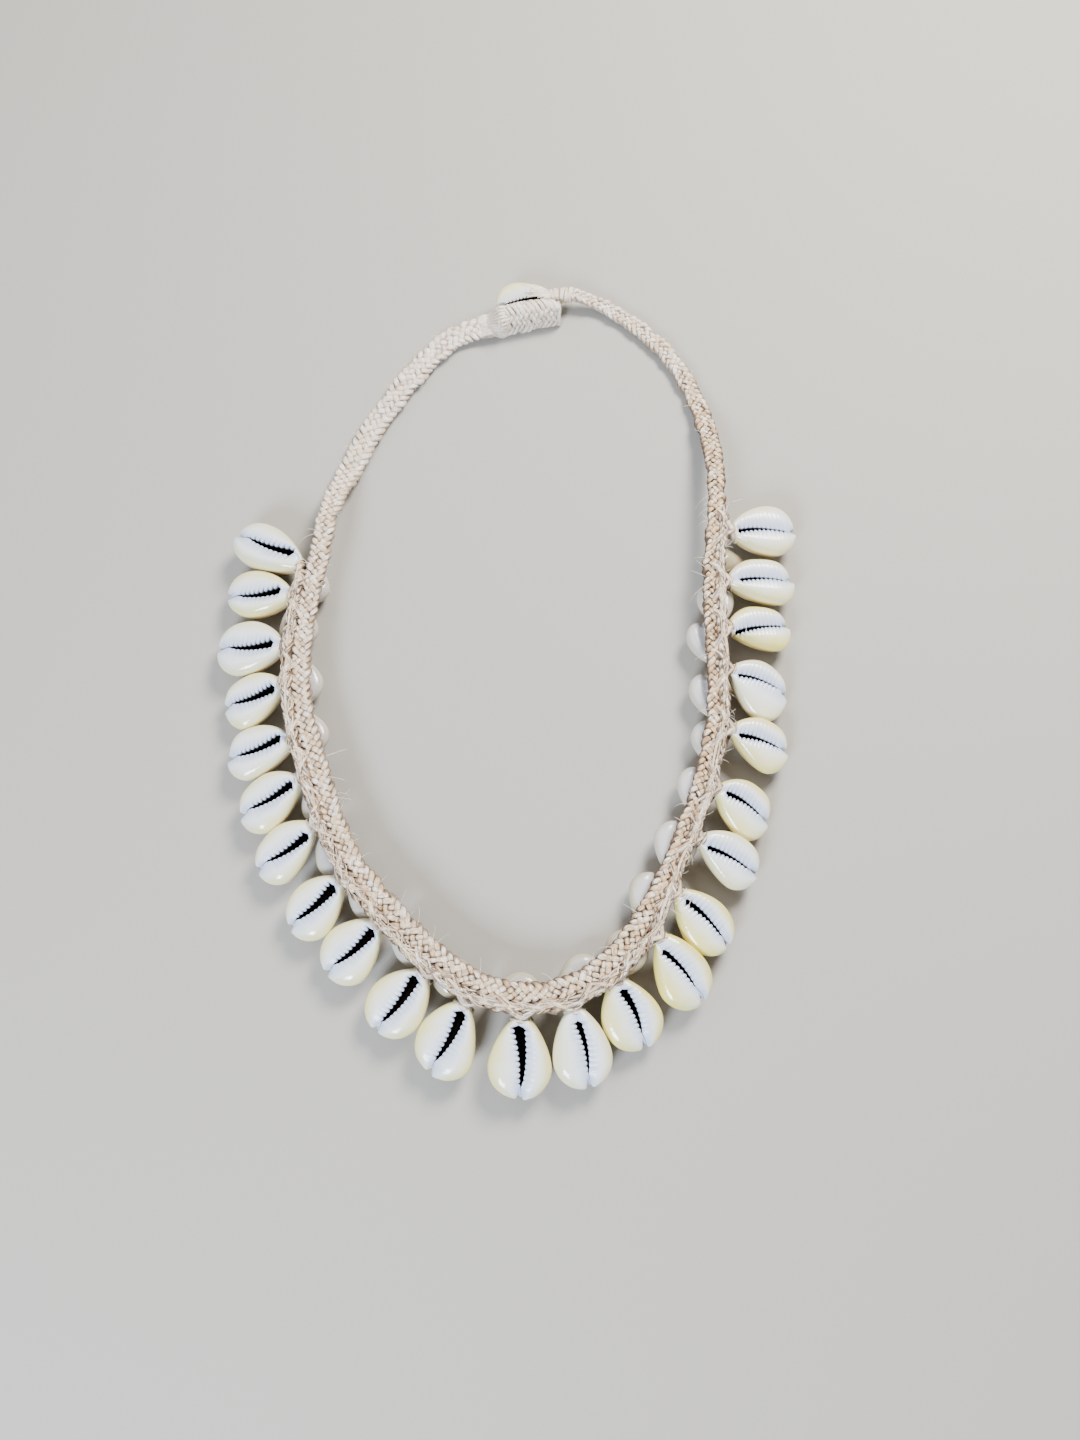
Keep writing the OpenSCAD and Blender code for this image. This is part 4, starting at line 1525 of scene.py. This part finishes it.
@dataclass
class LooseFibres:
    """Short ends and curls that stand off the band."""

    route: Route
    band: Band
    hairs: int = 150

    def build(self) -> None:
        """Makes the hairs as thin tubes: each leaves the band's edge and bends down in a short arc."""
        rng = np.random.default_rng(21)
        count, u = self.hairs, np.linspace(0, 1, 9)
        s = rng.uniform(3, self.route.length - 6, count)
        s[: count // 2] = rng.uniform(118, 470, count // 2)
        way = np.where(rng.uniform(size=count) < 0.6, 1.0, -1.0)
        middle, half, deep = self.band.top(s)
        long = rng.uniform(1.2, 3.4, count) * (1 + self.route.shelled(s) * 0.6)
        lean = rng.uniform(-1.2, 1.2, count)
        bend = rng.uniform(-1, 1, count)
        out = self.route.outward(s)[:, None] * (way * half * 0.7)[:, None, None]
        run = self.route.outward(s)[:, None] * (way[:, None] * long[:, None] * np.sin(u * 1.3))[..., None]
        slip = lean[:, None] * long[:, None] * u + bend[:, None] * u**2
        slide = self.route.along(s)[:, None] * slip[..., None]
        rise = (middle + deep * 0.35)[:, None] + 0.35 * np.sin(np.pi * u) - 0.25 * u**2 * long[:, None]
        path = self.route.at(s)[:, None] + out + run + slide + UP * np.maximum(rise, 0.3)[..., None]
        skin = Skin("loose_fibres")
        self.put(skin, path, 0.16, rng)
        for knots, thick in self.curls():
            path = through(np.array(knots, float), np.linspace(0, len(knots) - 1, 30))
            self.put(skin, path[None], thick, rng)
        skin.build(LASHED, "cord")

    def put(self, skin: Skin, path: Array, thick: float, rng: np.random.Generator) -> None:
        """Adds hairs that thin out towards their ends.

        Args:
            skin: Where they go.
            path: Their points, with the axes hair, place along it, coordinate.
            thick: Their thickness at the root.
            rng: The random numbers.
        """
        width = thick * (1 - 0.6 * np.linspace(0, 1, path.shape[1]))
        tone = rng.uniform(0, 1, (path.shape[0], 1))
        skin.lay(path, UP + 0.01, width, width, 0, (tone * 0.2, tone * 0.5, tone), 5, edge=0)

    def curls(self) -> list[tuple[list[tuple[float, float, float]], float]]:
        """Names the few long ends that stand out.

        Returns:
            The knots of each, and its thickness.
        """
        return [
            ([(47.5, -84.5, 12.2), (49.5, -83, 12.5), (51.5, -81.5, 11.5), (52.5, -82.5, 10.8),
              (51, -85.5, 11), (48.5, -87, 11.5), (47, -86, 11.8)], 0.34),
            ([(28, -107, 11.5), (28.5, -110, 11), (28.2, -113, 10)], 0.3),
            ([(-24, -98, 11), (-23, -101, 10), (-20, -100, 9.5)], 0.28),
            ([(72, -2, 11), (73.5, 2, 11.5), (72.5, 5, 10)], 0.2),
            ([(70, 46, 11.5), (74, 47.5, 11.5), (76, 48.5, 10.5)], 0.26),
            ([(-55, -40, 12), (-51, -38.5, 12), (-49, -37.5, 11)], 0.26),
        ]


# Studio


@dataclass
class Studio:
    """A pale table, soft lights and the camera at the photograph's angle.

    Target and distance are in millimetres, focal and frame_height in pixels, sensor in millimetres, and
    half_table, half the table's side, in metres.
    """

    target: tuple[float, float, float] = (9.0, -24.5, 0.0)
    distance: float = 340.0
    elevation: float = 71.0
    focal: float = 1081.0
    frame_height: float = 1440.0
    sensor: float = 24.0
    half_table: float = 1.5

    def build(self) -> None:
        """Puts the floor, the lights and the camera in place."""
        half = self.half_table
        corners = [(x * half, y * half, 0) for x, y in ((-1, -1), (1, -1), (1, 1), (-1, 1))]
        mesh = bpy.data.meshes.new("table_top")
        mesh.from_pydata(corners, [], [(0, 1, 2, 3)])
        floor = bpy.data.objects.new("table_top", mesh)
        bpy.context.scene.collection.objects.link(floor)
        mesh.materials.append(Table("pale_table").material())
        self.light("key", (0.35, 0.45, 0.6), 0.3, 17.0, (1.0, 0.95, 0.87))
        self.light("window", (-0.3, -0.65, 0.5), 0.25, 13.0, (0.8, 0.89, 1.0))
        self.light("fill", (-0.5, 0.3, 0.8), 0.9, 4.0, (1.0, 1.0, 1.0))
        world = bpy.data.worlds.new("soft_room")
        bpy.context.scene.world = world
        world.use_nodes = True
        sky = world.node_tree.nodes["Background"]
        sky.inputs["Color"].default_value = (0.92, 0.94, 1.0, 1)
        sky.inputs["Strength"].default_value = 0.35
        self.camera()

    def light(self, name: str, place: tuple[float, float, float], size: float, power: float,
              tint: Colour) -> None:
        """Adds a square soft light that looks at the lei.

        Args:
            name: Its name.
            place: Where it stands, in metres.
            size: Its side, in metres.
            power: Its power in watts.
            tint: Its colour.
        """
        lamp = bpy.data.lights.new(name, "AREA")
        lamp.size, lamp.energy, lamp.color = size, power, tint
        thing = bpy.data.objects.new(name, lamp)
        thing.location = place
        thing.rotation_euler = (-Vector(place)).to_track_quat("-Z", "Y").to_euler()
        bpy.context.scene.collection.objects.link(thing)

    def camera(self) -> None:
        """Adds the camera: its distance, angle and view fit the photograph's outline."""
        lens = bpy.data.cameras.new("photo_camera")
        lens.sensor_fit, lens.sensor_height = "VERTICAL", self.sensor
        lens.lens = self.sensor * self.focal / self.frame_height
        lens.clip_start = 0.01
        thing = bpy.data.objects.new("photo_camera", lens)
        angle = math.radians(self.elevation)
        aim = Vector(self.target) * MM
        thing.location = aim + Vector((0, -math.cos(angle), math.sin(angle))) * self.distance * MM
        thing.rotation_euler = (math.radians(90) - angle, 0, 0)
        bpy.context.scene.collection.objects.link(thing)
        bpy.context.scene.camera = thing


def main() -> None:
    """Builds the lei piece by piece."""
    logging.basicConfig(level=logging.INFO, format="%(message)s")
    route = Route()
    Studio().build()
    shells, band = OuterShells(route), Band(route)
    for part in (shells, UnderShells(route), band, EdgeCord(route, shells), Closure(route),
                 LooseFibres(route, band)):
        part.build()
        LOG.info("built %s", type(part).__name__)


if __name__ == "__main__":
    main()
